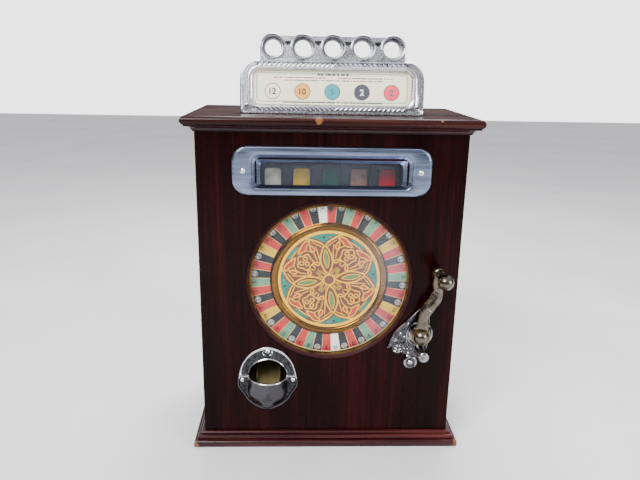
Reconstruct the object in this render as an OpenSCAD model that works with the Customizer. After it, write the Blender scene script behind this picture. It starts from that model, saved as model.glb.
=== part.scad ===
// Counter-top colour-wheel coin machine: a wooden cabinet with a five-way coin head on
// top, a colour wheel behind glass, a pull-down handle and a payout cup.
// +Z is up and the front faces -Y. The origin is the middle of the base's underside.
// Every module is drawn with the front panel's face at y = 0, and placed by at_front().

/* [Cabinet] */
// Width of the cabinet across its sides
body_w = 390; // [340:1:470]
// Depth of the cabinet from the panel's face to the back of the sides
body_d = 213; // [200:1:260]
// Height from the base's underside to the top of the cap
cab_h = 521; // [515:1:640]
// Thickness of the front, side and base boards
board_t = 16; // [14:0.5:18]
// Thickness of the back door
door_t = 14; // [10:0.5:16]
// Gap all round the back door
door_gap = 0.6; // [0.5:0.1:2]
// Height of the base moulding
plinth_h = 22; // [18:1:30]
// How far the base moulding stands out
plinth_out = 16; // [12:1:24]
// Thickness of the cap
cap_t = 13; // [10:1:18]
// How far the cap overhangs the front and the sides
cap_out = 17; // [14:1:26]
// Height of the moulding under the cap
crown_h = 9; // [6:1:14]

/* [Wheel] */
// Height of the wheel's axle
wheel_z = 273.5; // [265:0.5:300]
// Radius of the wheel's disc
wheel_r = 122; // [110:1:124]
// Distance of the wheel's face behind the panel's face
wheel_y = 19; // [18:0.5:22]
// Thickness of the wheel's disc
wheel_t = 6; // [4:0.5:8]
// Number of colour segments, which is also the number of stop teeth
segments = 50; // [30:1:60]
// Outer radius of the brass bead on the wheel
bead_r = 91; // [80:1:96]
// Width of the brass bead
bead_w = 12; // [8:1:14]
// Thickness of both panes of glass
glass_t = 2.5; // [2:0.5:3]
// Radius of the wheel's axle
axle_r = 6; // [5:0.5:8]

/* [Display window] */
// Height of the middle of the window's frame
window_z = 444.5; // [440:0.5:460]
// Width of the frame
window_w = 286; // [270:1:300]
// Height of the frame
window_h = 71; // [66:1:80]
// Thickness of the frame in front of the panel
window_t = 6; // [4:0.5:9]
// Distance from one coin channel to the next
coin_pitch = 43.5; // [40:0.5:46]
// Diameter of the coin that the machine takes
coin_d = 31; // [26:0.5:32]
// Distance of the colour plates' face behind the panel's face
flag_y = 49.5; // [46:0.5:54]

/* [Coin head] */
// How far the head leans back, in degrees
lean = 10; // [6:1:16]
// Distance of the head's foot behind the panel's face
head_y = 38; // [34:1:42]
// Width of the sign
sign_w = 268; // [256:1:290]
// Height of the sign along its face
sign_h = 77; // [70:1:90]
// Depth of the sign's casting
sign_d = 26; // [24:1:34]
// Outer radius of a coin ring
ring_r = 18.2; // [18:0.1:19.5]
// Depth of the coin ring's recess
ring_deep = 13; // [8:1:14]

/* [Handle] */
// Distance of the handle's axle from the cabinet's side
handle_in = 55; // [48:1:65]
// Wanted drop from the wheel's axle to the handle's axle
handle_drop = 77.5; // [70:0.5:90]
// Radius of the handle's axle
shaft_r = 7; // [6:0.5:8]
// Length of the handle from its axle to its ball
handle_len = 103; // [90:1:115]
// Radius of the handle's ball
ball_r = 11.7; // [9:0.1:14]
// Distance of the ball's middle in front of the panel
ball_y = 56; // [48:1:70]
// Travel of the handle, in degrees
handle_turn = 55; // [40:1:60]

/* [Payout] */
// Distance of the cup's middle left of the cabinet's middle
cup_x = 94; // [85:1:100]
// Height of the cup's rim
cup_z = 119; // [114:1:124]
// Radius of the bowl at its rim
cup_r = 31; // [28:1:33]
// Depth of the bowl below its rim
cup_deep = 52; // [44:1:56]

/* [Gears] */
// Module of the spinning gears
gear_m = 2.5; // [2:0.5:3]
// Teeth of the drive gear on the wheel's axle
drive_teeth = 40; // [36:1:44]
// Module of the payout pinion and rack
rack_m = 2; // [1.5:0.5:2.5]
// Teeth of a whole payout pinion
rack_teeth = 24; // [22:1:26]
// Slack between meshing teeth
backlash = 0.3; // [0.2:0.05:0.6]

/* [Fits] */
// Radial clearance of an axle in its bush
run_gap = 0.05; // [0.02:0.01:0.1]
// Clearance between parts that only pass each other
pass_gap = 0.3; // [0.2:0.1:0.6]

/* [Hidden] */
$fn = 64;
eps = 0.01;

front_y = -(body_d - plinth_out) / 2;
half_w = body_w / 2;
inner_x = half_w - board_t;
cap_z = cab_h - cap_t;
crown_z = cap_z - crown_h;

// The wheel's opening and its glass
hole_r = wheel_r - 1;
hole_lip = 5;
glass_y = 9;
pane_r = hole_r + 4;

// The window: the lip at the front of the funnel, and the opening at its back
lip_w = 230;
lip_h = 48;
view_w = 207;
view_low = window_z - 22;
view_high = window_z + 10.5;
collar_w = view_w + 9;
collar_low = view_low - 4;
collar_high = view_high + 5;
pane_y = 8;
pane_margin = 5.5;

// Coin channels, from left to right
channels = [-2, -1, 0, 1, 2];
channel_w = coin_d + 2.5;
chute_back_y = flag_y + 1.5;
chute_y = flag_y - 4.5;
chute_cover_y = chute_y - 2;
chute_t = 3;
rib_w = coin_pitch - channel_w;
chute_w = 5 * coin_pitch + rib_w;
// Gap between the chute's sheets, spacers and angles
sheet_gap = 0.05;
chute_low = window_z - 46;
flag_w = 25;
flag_low = window_z - 39;
flag_high = window_z - 4.5;

// The handle's axle: the sector's teeth are rounded to whole teeth, then the drop follows
handle_x = half_w - handle_in;
wanted = sqrt(pow(handle_x, 2) + pow(handle_drop, 2));
sector_teeth = round(2 * wanted / gear_m) - drive_teeth;
centres = gear_m * (drive_teeth + sector_teeth) / 2;
handle_z = wheel_z - sqrt(pow(centres, 2) - pow(handle_x, 2));
mesh_angle = atan2(wheel_z - handle_z, -handle_x);
gear_y = 42;
gear_t = 6;

// The mechanism's plates
plate_y = 54;
plate_t = 3;
rear_y = 84;
post_r = 5;
posts = [
    [-wheel_r - 3, wheel_z + 78.5], [wheel_r + 3, wheel_z + 78.5],
    [-wheel_r - 3, wheel_z - 78.5], [handle_x + 10, handle_z - 68]
];
pillar_r = 4;
pillars = [[-45, wheel_z - 38], [-45, wheel_z + 34], [60, wheel_z + 34],
    [handle_x - 4, handle_z - 42]];
leg_x = handle_x - 40;
stop_post = [handle_x + 3, handle_z - 28];
bush_wall = 3;

// The stop star and the pawls
hub_y = wheel_y + wheel_t;
star_y = 34;
star_t = 3;
star_r = 36;
star_depth = 4;
clutch_r = 22;
clutch_depth = 3;
clutch_teeth = 24;
clutch_y = 37.5;
clutch_t = 3.5;
pawl_pivot_r = 3;

// The payout: a rack under its pinion pushes the lowest coin off a shelf
pinion_y = 92;
pinion_t = 6;
rack_r = rack_m * rack_teeth / 2;
rack_z = handle_z - rack_r;
rack_back = 12;
slide_travel = rack_r * handle_turn * PI / 180;
tube_in_r = coin_d / 2 + 0.7;
tube_wall = 1.8;
tube_y = pinion_y + pinion_t + pass_gap + tube_in_r + tube_wall;
tube_h = 120;
coin_t = 2;
tube_x = -cup_x + slide_travel;
shelf_z = rack_z - rack_back - coin_t;
shelf_t = 2;
tube_low = shelf_z + coin_t + pass_gap;

// The head: ring centres above the foot, and the sign's opening
ring_v = sign_h + 19.5;
ring_front = 1;
bar_d = ring_deep + 3;
recess_r = coin_d / 2 + 0.8;
ring_hole_r = 11.7;
sign_wall = 6;
sign_corner = 26;
open_w = 231;
open_low = 15;
open_high = sign_h - 14;
throat_w = chute_w + 2;

function arc(cx, cz, r, a0, a1, n) =
    [for (i = [0:n]) let (a = a0 + (a1 - a0) * i / n) [cx + r * cos(a), cz + r * sin(a)]];
function rounded(w, h, r, n = 6) = concat(
    arc(w / 2 - r, h / 2 - r, r, 0, 90, n), arc(-w / 2 + r, h / 2 - r, r, 90, 180, n),
    arc(-w / 2 + r, -h / 2 + r, r, 180, 270, n), arc(w / 2 - r, -h / 2 + r, r, 270, 360, n));
function polar(r, a) = [r * cos(a), r * sin(a)];

// Involute gears: the half angle that a tooth covers at a radius
function inv(a) = tan(a) * 180 / PI - a;
function half_tooth(m, n, rho) =
    let (r = m * n / 2, rb = r * cos(20), alpha = acos(min(1, rb / rho)))
    90 / n - backlash / (4 * r) * 180 / PI + inv(20) - inv(alpha);
function tooth(m, n, a) =
    let (r = m * n / 2, rf = r - 1.25 * m, ra = r + m, rs = max(rf, r * cos(20) + eps),
        rho = [rs, (rs + r) / 2, r, (r + ra) / 2, ra])
    concat([polar(rf, a - half_tooth(m, n, rs))],
        [for (q = rho) polar(q, a - half_tooth(m, n, q))],
        [for (i = [4:-1:0]) polar(rho[i], a + half_tooth(m, n, rho[i]))],
        [polar(rf, a + half_tooth(m, n, rs))]);
function gear_outline(m, n, start = 0) =
    [for (i = [0:n - 1]) each tooth(m, n, start + i * 360 / n)];

// Puts a shape drawn from the panel's face into the part's frame
module at_front() translate([0, front_y, 0]) children();
// Extrudes an XZ outline backwards from y = from
module plate(from, t) translate([0, from + t, 0]) rotate([90, 0, 0]) linear_extrude(t) children();
// A round bar along Y
module bar(x, z, r, from, to) translate([x, to, z]) rotate([90, 0, 0]) cylinder(r = r, h = to - from);
// A bevelled round along Y: r1 at the front, r2 at the back
module taper(x, z, r1, r2, from, to)
    translate([x, from, z]) rotate([-90, 0, 0]) cylinder(r1 = r1, r2 = r2, h = to - from);
module block(x0, x1, y0, y1, z0, z1) translate([x0, y0, z0]) cube([x1 - x0, y1 - y0, z1 - z0]);
// The head's leaning frame: x, depth behind the face, height up the face
module leaning() translate([0, head_y, cab_h]) rotate([-lean, 0, 0]) children();
// A slotted round-head screw: its head stands in front of y, its shank goes back
module screw(x, y, z, head_r, shank) {
    difference() {
        translate([x, y, z]) rotate([90, 0, 0])
            intersection() {
                translate([0, 0, -head_r * 0.75]) sphere(r = head_r * 1.25);
                cylinder(r = head_r * 1.2, h = head_r);
            }
        block(x - head_r * 2, x + head_r * 2, y - head_r, y - head_r * 0.32, z - 0.5, z + 0.5);
    }
    bar(x, z, head_r * 0.45, y - eps, y + shank);
}

// ---- Cabinet ----

// Moulding on three sides: the profile's x is how far it stands out, and its y is the height
module mitred(low, high, out) {
    reach = out + 1;
    intersection() {
        rotate([90, 0, 90]) translate([0, 0, -half_w - reach]) linear_extrude(body_w + 2 * reach)
            mirror([1, 0]) children();
        translate([0, 0, low - 1]) linear_extrude(high - low + 2)
            polygon([[-half_w - reach, -reach], [half_w + reach, -reach], [half_w, 0], [-half_w, 0]]);
    }
    for (side = [-1, 1]) intersection() {
        translate([side * half_w, body_d, 0]) rotate([90, 0, 0]) linear_extrude(body_d + reach)
            scale([side, 1]) children();
        translate([0, 0, low - 1]) linear_extrude(high - low + 2)
            polygon([[side * half_w, 0], [side * (half_w + reach), -reach],
                [side * (half_w + reach), body_d], [side * half_w, body_d]]);
    }
}

// Base profile: a plinth, a cove, a bead and a small round at the top
module plinth_profile() {
    bead = plinth_h * 0.14;
    polygon(concat([[0, 0], [plinth_out - 1.5, 0], [plinth_out, 1.5]],
        arc(plinth_out - 3, plinth_h * 0.36, 3, 0, 80, 5),
        [[plinth_out - 5.5, plinth_h * 0.5]],
        arc(plinth_out - 5.5 - bead, plinth_h * 0.5 + bead, bead, -60, 90, 6),
        [[plinth_out - 10.5, plinth_h * 0.8]],
        arc(plinth_out - 13, plinth_h - 3, 3, 10, 90, 5), [[0, plinth_h]]));
}

// Crown profile: a cove with a small step below it
module crown_profile() {
    step = 2.5;
    top_out = cap_out - 4;
    polygon(concat([[0, crown_z], [step, crown_z], [step, crown_z + 2]],
        [for (i = [0:6]) let (a = 90 * i / 6)
            [step + 1 + (top_out - step - 1) * (1 - cos(a)), crown_z + 2 + (crown_h - 3.5) * sin(a)]],
        [[top_out, cap_z], [0, cap_z]]));
}

module base_board() color("#2a1210") block(-half_w, half_w, 0, body_d, 0, board_t);
module base_moulding() color("#4a1f19") mitred(0, plinth_h, plinth_out) plinth_profile();
module crown_moulding() color("#3a1714") mitred(crown_z, cap_z, cap_out) crown_profile();

module side_panel(side) color("#3a1512")
    block(min(side * inner_x, side * half_w), max(side * inner_x, side * half_w),
        board_t, body_d, board_t, cap_z);

module window_cut() {
    block(-collar_w / 2 - 0.5, collar_w / 2 + 0.5, -1, board_t + 1,
        collar_low - 0.5, collar_high + 0.5);
    block(-collar_w / 2 - pane_margin, collar_w / 2 + pane_margin, pane_y, board_t + 1,
        collar_low - pane_margin, collar_high + pane_margin);
}

module front_panel() color("#401513") difference() {
    block(-half_w, half_w, 0, board_t, board_t, cap_z);
    bar(0, wheel_z, hole_r, -1, board_t + 1);
    taper(0, wheel_z, hole_r + hole_lip + 1, hole_r + hole_lip, -1, 1);
    taper(0, wheel_z, hole_r + hole_lip - 1, hole_r, 1 - eps, 6);
    bar(0, wheel_z, pane_r + 0.5, glass_y, board_t + 1);
    window_cut();
    plate(-1, board_t + 2) polygon(cup_mouth(1));
    bar(handle_x, handle_z, shaft_r + bush_wall, -1, board_t + 1);
}

// The cap's edge is a half round on three sides
module cap_side(length, both) union() {
    square([length, cap_t]);
    translate([0, cap_t / 2]) circle(r = cap_t / 2);
    if (both) translate([length, cap_t / 2]) circle(r = cap_t / 2);
}

module top_cap() color("#4a211a") difference() {
    nose = cap_out - cap_t / 2;
    intersection() {
        translate([-half_w - nose, body_d, cap_z]) rotate([90, 0, 0])
            linear_extrude(body_d + cap_out) cap_side(body_w + 2 * nose, true);
        translate([-half_w - cap_out, -nose, cap_z]) rotate([90, 0, 90])
            linear_extrude(body_w + 2 * cap_out) intersection() {
                cap_side(body_d + nose, false);
                translate([-cap_out, 0]) square([body_d + nose + cap_out, cap_t]);
            }
    }
    block(-throat_w / 2, throat_w / 2, chute_cover_y - 1, chute_back_y + chute_t + 1,
        cap_z - 1, cab_h + 1);
}

// A rail across the back, over the door
module back_rail() color("#2a1210")
    block(-inner_x, inner_x, body_d - door_t, body_d, cap_z - 12, cap_z);

door_low = board_t + door_gap;
door_high = cap_z - 12 - door_gap;
door_x = inner_x - door_gap;
door_y = body_d - door_t;
lock_x = door_x - 26;
lock_z = (door_low + door_high) / 2;
lock_r = 9;

module back_door() color("#3a1512") difference() {
    block(-door_x, door_x, door_y, body_d, door_low, door_high);
    bar(lock_x, lock_z, lock_r + run_gap, door_y - 1, body_d + 1);
}

// ---- Door hinges: the pin stands just outside the back, on the joint line ----
pin_r = 1.5;
knuckle_r = 2.8;
leaf_t = 1.6;
leaf_h = 50;
hinge_x = -inner_x - door_gap / 2 + door_gap;
hinge_y = body_d + knuckle_r + 0.2;
hinge_zs = [door_low + 70, door_high - 70];
knuckle_h = leaf_h / 5;

module knuckle(z, h) translate([hinge_x, hinge_y, z]) difference() {
    cylinder(r = knuckle_r, h = h, $fn = 32);
    translate([0, 0, -1]) cylinder(r = pin_r + run_gap, h = h + 2, $fn = 32);
}

// A leaf reaches one way from the pin; it takes every second knuckle
module leaf(side, first) for (zc = hinge_zs) {
    z0 = zc - leaf_h / 2;
    for (k = [first:2:4]) knuckle(z0 + k * knuckle_h + 0.1, knuckle_h - 0.2);
    difference() {
        union() {
            block(min(hinge_x + side * 3.4, hinge_x + side * 15), max(hinge_x + side * 3.4,
                hinge_x + side * 15), body_d, body_d + leaf_t, z0, z0 + leaf_h);
            for (k = [first:2:4])
                block(min(hinge_x, hinge_x + side * 3.6), max(hinge_x, hinge_x + side * 3.6),
                    body_d + 0.2, body_d + leaf_t, z0 + k * knuckle_h + 0.1,
                    z0 + (k + 1) * knuckle_h - 0.1);
        }
        translate([hinge_x, hinge_y, z0 - 1]) cylinder(r = pin_r + run_gap, h = leaf_h + 2, $fn = 32);
    }
    for (dz = [-18, 0, 18]) rotate([0, 0, 180])
        screw(-hinge_x - side * 9.5, -body_d - leaf_t, zc + dz, 2.4, leaf_t + 6);
}

module hinge_fixed_leaves() color("#b08d3c") leaf(-1, 0);
module hinge_door_leaves() color("#b08d3c") leaf(1, 1);
module hinge_pins() color("#8c7030") for (zc = hinge_zs)
    translate([hinge_x, hinge_y, zc - leaf_h / 2 - 1]) {
        cylinder(r = pin_r, h = leaf_h + 2, $fn = 32);
        translate([0, 0, -2]) cylinder(r = knuckle_r, h = 2, $fn = 32);
        translate([0, 0, leaf_h + 2]) cylinder(r = knuckle_r, h = 2, $fn = 32);
    }

module lock_barrel() color("#b08d3c") difference() {
    union() {
        bar(lock_x, lock_z, lock_r, door_y - 6, body_d);
        bar(lock_x, lock_z, lock_r + 3, body_d, body_d + 2);
        bar(lock_x, lock_z, 3, door_y - 9.5, door_y - 5);
    }
    block(lock_x - 0.8, lock_x + 0.8, body_d - 4, body_d + 3, lock_z - 4, lock_z + 4);
}
// The cam stands upright when unlocked, and turns out behind the keeper
module lock_cam() color("#8a8a8c") difference() {
    plate(door_y - 9 - pass_gap, 3) union() {
        translate([lock_x, lock_z]) circle(r = 8);
        translate([lock_x - 5, lock_z]) square([10, 24]);
    }
    bar(lock_x, lock_z, 3 + run_gap, door_y - 12, door_y - 5);
}
module lock_keeper() color("#8a8a8c")
    block(lock_x + 14, inner_x, door_y - 5.5, door_y - 1, lock_z - 12, lock_z + 12);

// ---- Display window ----
module window_frame() color("#aab0bb") difference() {
    union() {
        plate(-window_t, window_t) translate([0, window_z]) polygon(rounded(window_w, window_h, 22));
        block(-collar_w / 2, collar_w / 2, -eps, pane_y, collar_low, collar_high);
    }
    hull() {
        plate(-window_t - 1, 1) translate([0, window_z - 1]) polygon(rounded(lip_w, lip_h, 11));
        plate(pane_y + 0.5, 1) translate([0, (view_low + view_high) / 2])
            polygon(rounded(view_w, view_high - view_low, 7));
    }
    for (side = [-1, 1]) bar(side * (window_w / 2 - 15.5), window_z, 2.5, -window_t - 1, 1);
}
module window_glass() color("#dfeeea", 0.3) block(-collar_w / 2 - 5, collar_w / 2 + 5,
    pane_y, pane_y + glass_t, collar_low - 5, collar_high + 5);
module window_bead() color("#2a1210") difference() {
    block(-collar_w / 2 - 5, collar_w / 2 + 5, pane_y + glass_t, board_t,
        collar_low - 5, collar_high + 5);
    block(-collar_w / 2 + 1, collar_w / 2 - 1, pane_y, board_t + 1,
        collar_low + 1, collar_high - 1);
}
module colour_plates() for (i = channels)
    color(["#e6e4cf", "#c9a227", "#1e5a44", "#8a6a5c", "#c01823"][i + 2])
        block(i * coin_pitch - flag_w / 2, i * coin_pitch + flag_w / 2,
            flag_y, chute_back_y, flag_low, flag_high);

// ---- Coin path ----
module coin_chutes() color("#2b2c30") {
    block(-chute_w / 2, chute_w / 2, chute_back_y, chute_back_y + chute_t, chute_low, cab_h);
    for (i = [-2:3])
        block((i - 0.5) * coin_pitch - rib_w / 2, (i - 0.5) * coin_pitch + rib_w / 2,
            chute_y, chute_back_y - sheet_gap, chute_low, cab_h);
    block(-chute_w / 2, chute_w / 2, chute_cover_y, chute_y - sheet_gap, collar_high + 6, cab_h);
    // an angle on each side screws to the back of the panel
    for (side = [-1, 1]) {
        x = side * (chute_w / 2 + sheet_gap);
        block(min(x, x + side * 2), max(x, x + side * 2), board_t, chute_back_y + chute_t,
            crown_z - 20, crown_z);
        block(min(x, x + side * 16), max(x, x + side * 16), board_t, board_t + 2,
            crown_z - 20, crown_z);
    }
}
ramp_y = door_y - 46;
ramp_drop = 46;
module coin_ramp() color("#6f7378") {
    run = ramp_y - chute_cover_y;
    tilt = atan2(ramp_drop, run);
    length = sqrt(pow(run, 2) + pow(ramp_drop, 2));
    translate([0, chute_cover_y, chute_low - 4]) rotate([-tilt, 0, 0]) {
        translate([-chute_w / 2 - 3, 0, -2]) cube([chute_w + 6, length, 2]);
        for (side = [-1, 1]) translate([side * (chute_w / 2 + 1.5) - 1.5, 0, -eps])
            cube([3, length, 12]);
    }
    for (side = [-1, 1]) {
        x = side * (chute_w / 2 + 3);
        block(min(x, side * inner_x), max(x, side * inner_x), ramp_y - 24, ramp_y - 8,
            chute_low - ramp_drop + 6, chute_low - ramp_drop + 8);
        block(side * inner_x - (side > 0 ? 2 : 0), side * inner_x + (side > 0 ? 0 : 2),
            ramp_y - 24, ramp_y - 8, chute_low - ramp_drop - 8, chute_low - ramp_drop + 7);
    }
}

// ---- Wheel ----
module wheel_glass() color("#dfeeea", 0.3) bar(0, wheel_z, pane_r, glass_y, glass_y + glass_t);
module glass_ring() color("#b5903f") difference() {
    bar(0, wheel_z, hole_r - 0.1, glass_y - 3, glass_y);
    bar(0, wheel_z, hole_r - 2.8, glass_y - 4, glass_y + 1);
}
module glass_clips() color("#8a8a8c") for (a = [45, 135, 225, 315]) {
    translate([0, 0, wheel_z]) rotate([0, -a, 0]) {
        block(pane_r - 5 + 2, pane_r + 12, board_t, board_t + 1.5, -5, 5);
        block(pane_r - 2, pane_r, glass_y + glass_t, board_t + eps, -5, 5);
    }
}
// The pointer is a flat blade screwed behind the panel, and hangs in front of the wheel's rim
module wheel_pointer() color("#3a2c22") plate(board_t, 1.2) translate([0, wheel_z])
    polygon([[-9, pane_r + 14], [-9, pane_r + 3], [-4, pane_r - 3], [-4, wheel_r - 9],
        [0, wheel_r - 17], [4, wheel_r - 9], [4, pane_r - 3], [9, pane_r + 3], [9, pane_r + 14]]);
module wheel_disc() color("#5a3a26") difference() {
    bar(0, wheel_z, wheel_r, wheel_y, wheel_y + wheel_t);
    bar(0, wheel_z, axle_r, wheel_y - 1, wheel_y + wheel_t + 1);
}
module segment_ring() color("#d4604f") difference() {
    bar(0, wheel_z, wheel_r, wheel_y - 0.6, wheel_y);
    bar(0, wheel_z, bead_r, wheel_y - 1, wheel_y + 1);
}
module brass_bead() color("#a9812f") translate([0, wheel_y, wheel_z]) rotate([90, 0, 0])
    rotate_extrude() translate([bead_r - bead_w / 2, 0]) intersection() {
        scale([1, 0.8]) circle(r = bead_w / 2, $fn = 32);
        translate([-bead_w / 2, 0]) square([bead_w, bead_w / 2]);
    }
rosette_r = bead_r - bead_w - 0.2;
module rosette_disc() color("#9a4038") bar(0, wheel_z, rosette_r, wheel_y - 1.6, wheel_y);

// The fretwork: a rim, eight ribs to a small ring, and a leaf on each long rib
fret_t = 1.2;
fret_y = wheel_y - 1.6 - fret_t;
screw_ring_r = rosette_r - 10;
module fret_rib(a) rotate(a) translate([6, -1]) square([rosette_r - 8, 2]);
module rosette_fretwork() color("#e2b64a") difference() {
    plate(fret_y, fret_t) translate([0, wheel_z]) union() {
        difference() {
            circle(r = rosette_r);
            circle(r = rosette_r - 5);
        }
        difference() {
            circle(r = 8);
            circle(r = 4.5);
        }
        for (a = [0:45:315]) fret_rib(a);
        for (a = [0:90:270]) rotate(a) translate([30, 0]) difference() {
            intersection() {
                translate([0, 26]) circle(r = 34);
                translate([0, -26]) circle(r = 34);
            }
            intersection() {
                translate([0, 26]) circle(r = 32.4);
                translate([0, -26]) circle(r = 32.4);
            }
        }
        for (a = [45:90:315]) rotate(a) translate([46, 0]) difference() {
            circle(r = 16);
            circle(r = 14);
        }
    }
    for (a = [22.5:90:292.5])
        bar(screw_ring_r * cos(a), wheel_z + screw_ring_r * sin(a), 1.6, fret_y - 1, wheel_y);
}
module rosette_screws() color("#3a3a3c") for (a = [0:90:270])
    bar(screw_ring_r * cos(a + 90), wheel_z + screw_ring_r * sin(a + 90), 1.5, fret_y - 1, fret_y);

module wheel_hub() color("#8a8a8c") difference() {
    union() {
        bar(0, wheel_z, 30, hub_y, hub_y + 4);
        bar(0, wheel_z, 12, hub_y, star_y);
    }
    bar(0, wheel_z, axle_r, hub_y - 1, star_y + 1);
    for (a = [30:60:330])
        bar(22 * cos(a), wheel_z + 22 * sin(a), 2, hub_y - 1, hub_y + 5);
}
module wheel_axle() color("#b9bcc0") bar(0, wheel_z, axle_r, wheel_y, rear_y + plate_t + 8);

// Ratchet outline: low says where, between two tips, the outline is at its lowest
module ratchet(n, r, depth, low) polygon([for (i = [0:n - 1]) each
    [polar(r, i * 360 / n), polar(r - depth, (i + low) * 360 / n)]]);
module stop_star() color("#9a9da2") {
    difference() {
        plate(star_y, star_t) translate([0, wheel_z]) ratchet(segments, star_r, star_depth, 0.5);
        bar(0, wheel_z, axle_r, star_y - 1, star_y + star_t + 1);
    }
    difference() {
        plate(star_y + star_t, clutch_t) translate([0, wheel_z])
            ratchet(clutch_teeth, clutch_r, clutch_depth, 0.88);
        bar(0, wheel_z, axle_r, star_y, star_y + star_t + clutch_t + 1);
    }
}

// ---- Mechanism frame ----
module bush_holes(from, to) {
    bar(0, wheel_z, axle_r + bush_wall, from, to);
    bar(handle_x, handle_z, shaft_r + bush_wall, from, to);
}
module mech_plate_front() color("#7d8187") difference() {
    plate(plate_y, plate_t) union() {
        translate([posts[0][0] - 12, posts[2][1] - 12])
            square([posts[3][0] + 15 - posts[0][0] + 12, posts[0][1] - posts[2][1] + 24]);
        translate([leg_x, posts[3][1] - 12])
            square([posts[3][0] + 15 - leg_x, posts[2][1] - posts[3][1] + 1]);
    }
    bush_holes(plate_y - 1, plate_y + plate_t + 1);
    bar(stop_pivot[0], stop_pivot[1], pawl_pivot_r, plate_y - 1, plate_y + plate_t + 1);
}
module mech_plate_rear() color("#7d8187") difference() {
    plate(rear_y, plate_t) translate([pillars[0][0] - 10, shelf_z - 6])
        square([handle_x + 25 - pillars[0][0] + 10, pillars[1][1] + 10 - shelf_z + 6]);
    bush_holes(rear_y - 1, rear_y + plate_t + 1);
}
module mech_posts() color("#9a9da2") {
    for (p = posts) bar(p[0], p[1], post_r, board_t, plate_y);
    // the stop pawl's stud, with a shoulder behind the pawl
    bar(stop_pivot[0], stop_pivot[1], pawl_pivot_r, star_y - 2, plate_y + plate_t);
    bar(stop_pivot[0], stop_pivot[1], post_r, star_y + star_t + pass_gap, plate_y);
    bar(stop_pivot[0], stop_pivot[1], post_r, star_y - 3.3, star_y - pass_gap);
    for (p = pillars) bar(p[0], p[1], pillar_r, plate_y + plate_t, rear_y);
}
module bush(x, z, r, from, t, flange_back) difference() {
    union() {
        bar(x, z, r + bush_wall, from, from + t);
        if (flange_back) bar(x, z, r + bush_wall + 3, from + t, from + t + 2);
        else bar(x, z, r + bush_wall + 3, from - 2, from);
    }
    bar(x, z, r + run_gap, from - 3, from + t + 3);
}
module axle_bushes() color("#b5772f") {
    for (y = [plate_y, rear_y]) {
        bush(0, wheel_z, axle_r, y, plate_t, true);
        bush(handle_x, handle_z, shaft_r, y, plate_t, true);
    }
}

// ---- Pawls ----
stop_pivot = [0, wheel_z] + polar(75, 140);
nose_r = 2;
stop_nose = [0, wheel_z] + polar(star_r + nose_r + pass_gap + 0.1, 108);
module stop_pawl() color("#9a9da2") {
    difference() {
        plate(star_y, star_t) union() {
            hull() {
                translate(stop_pivot) circle(r = 7, $fn = 32);
                translate(stop_nose) circle(r = nose_r, $fn = 32);
            }
            hull() {
                translate(stop_pivot) circle(r = 6, $fn = 32);
                translate(stop_pivot + [-22, 6]) circle(r = 3, $fn = 32);
            }
        }
        bar(stop_pivot[0], stop_pivot[1], pawl_pivot_r + run_gap, star_y - 1, star_y + star_t + 1);
    }
}
clutch_pivot = [0, wheel_z] + polar(36, 60);
clutch_nose = [0, wheel_z] + polar(clutch_r + nose_r + pass_gap + 0.1, 102);
module clutch_pawl() color("#9a9da2") difference() {
    plate(clutch_y + pass_gap, clutch_t - 2 * pass_gap) hull() {
        translate(clutch_pivot) circle(r = 5, $fn = 32);
        translate(clutch_nose) circle(r = nose_r, $fn = 32);
    }
    bar(clutch_pivot[0], clutch_pivot[1], pawl_pivot_r + run_gap, clutch_y - 1, clutch_y + clutch_t + 1);
}

// ---- Gears ----
module drive_gear() color("#b5903f") {
    difference() {
        plate(gear_y, gear_t) translate([0, wheel_z]) difference() {
            polygon(gear_outline(gear_m, drive_teeth,
                atan2(handle_z - wheel_z, handle_x) + 180 / drive_teeth));
            for (a = [150, 240, 330]) translate(polar(30, a)) circle(r = 9);
        }
        bar(0, wheel_z, axle_r + run_gap, gear_y - 1, gear_y + gear_t + 1);
    }
    bar(clutch_pivot[0], clutch_pivot[1], pawl_pivot_r, clutch_y, gear_y + eps);
}

// The sector turns with the handle: its first tooth meets the drive gear at rest
sector_before = 2;
sector_after = ceil(handle_turn / 360 * sector_teeth) + 3;
sector_step = 360 / sector_teeth;
module gear_sector() color("#b5903f") {
    rf = gear_m * sector_teeth / 2 - 1.25 * gear_m;
    a0 = mesh_angle - (sector_before + 0.5) * sector_step;
    a1 = mesh_angle + (sector_after + 0.5) * sector_step;
    difference() {
        plate(gear_y, gear_t) translate([handle_x, handle_z]) difference() {
            union() {
                polygon(concat([polar(4, a0 - 90)],
                    [for (i = [-sector_before:sector_after])
                        each tooth(gear_m, sector_teeth, mesh_angle + i * sector_step)],
                    [polar(4, a1 + 90)]));
                circle(r = shaft_r + 9);
            }
            polygon(concat(arc(0, 0, rf - 12, a0 + 7, a1 - 7, 12), arc(0, 0, 34, a1 - 14, a0 + 14, 6)));
        }
        bar(handle_x, handle_z, shaft_r, gear_y - 1, gear_y + gear_t + 1);
    }
    difference() {
        bar(handle_x, handle_z, shaft_r + 6, gear_y - 8, gear_y);
        bar(handle_x, handle_z, shaft_r, gear_y - 9, gear_y + 1);
    }
}

// ---- Handle ----
module handle_shaft() color("#b9bcc0")
    bar(handle_x, handle_z, shaft_r, -22, pinion_y + pinion_t + 4);
module handle_bush() color("#b5772f") bush(handle_x, handle_z, shaft_r, 0, board_t, true);

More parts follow.
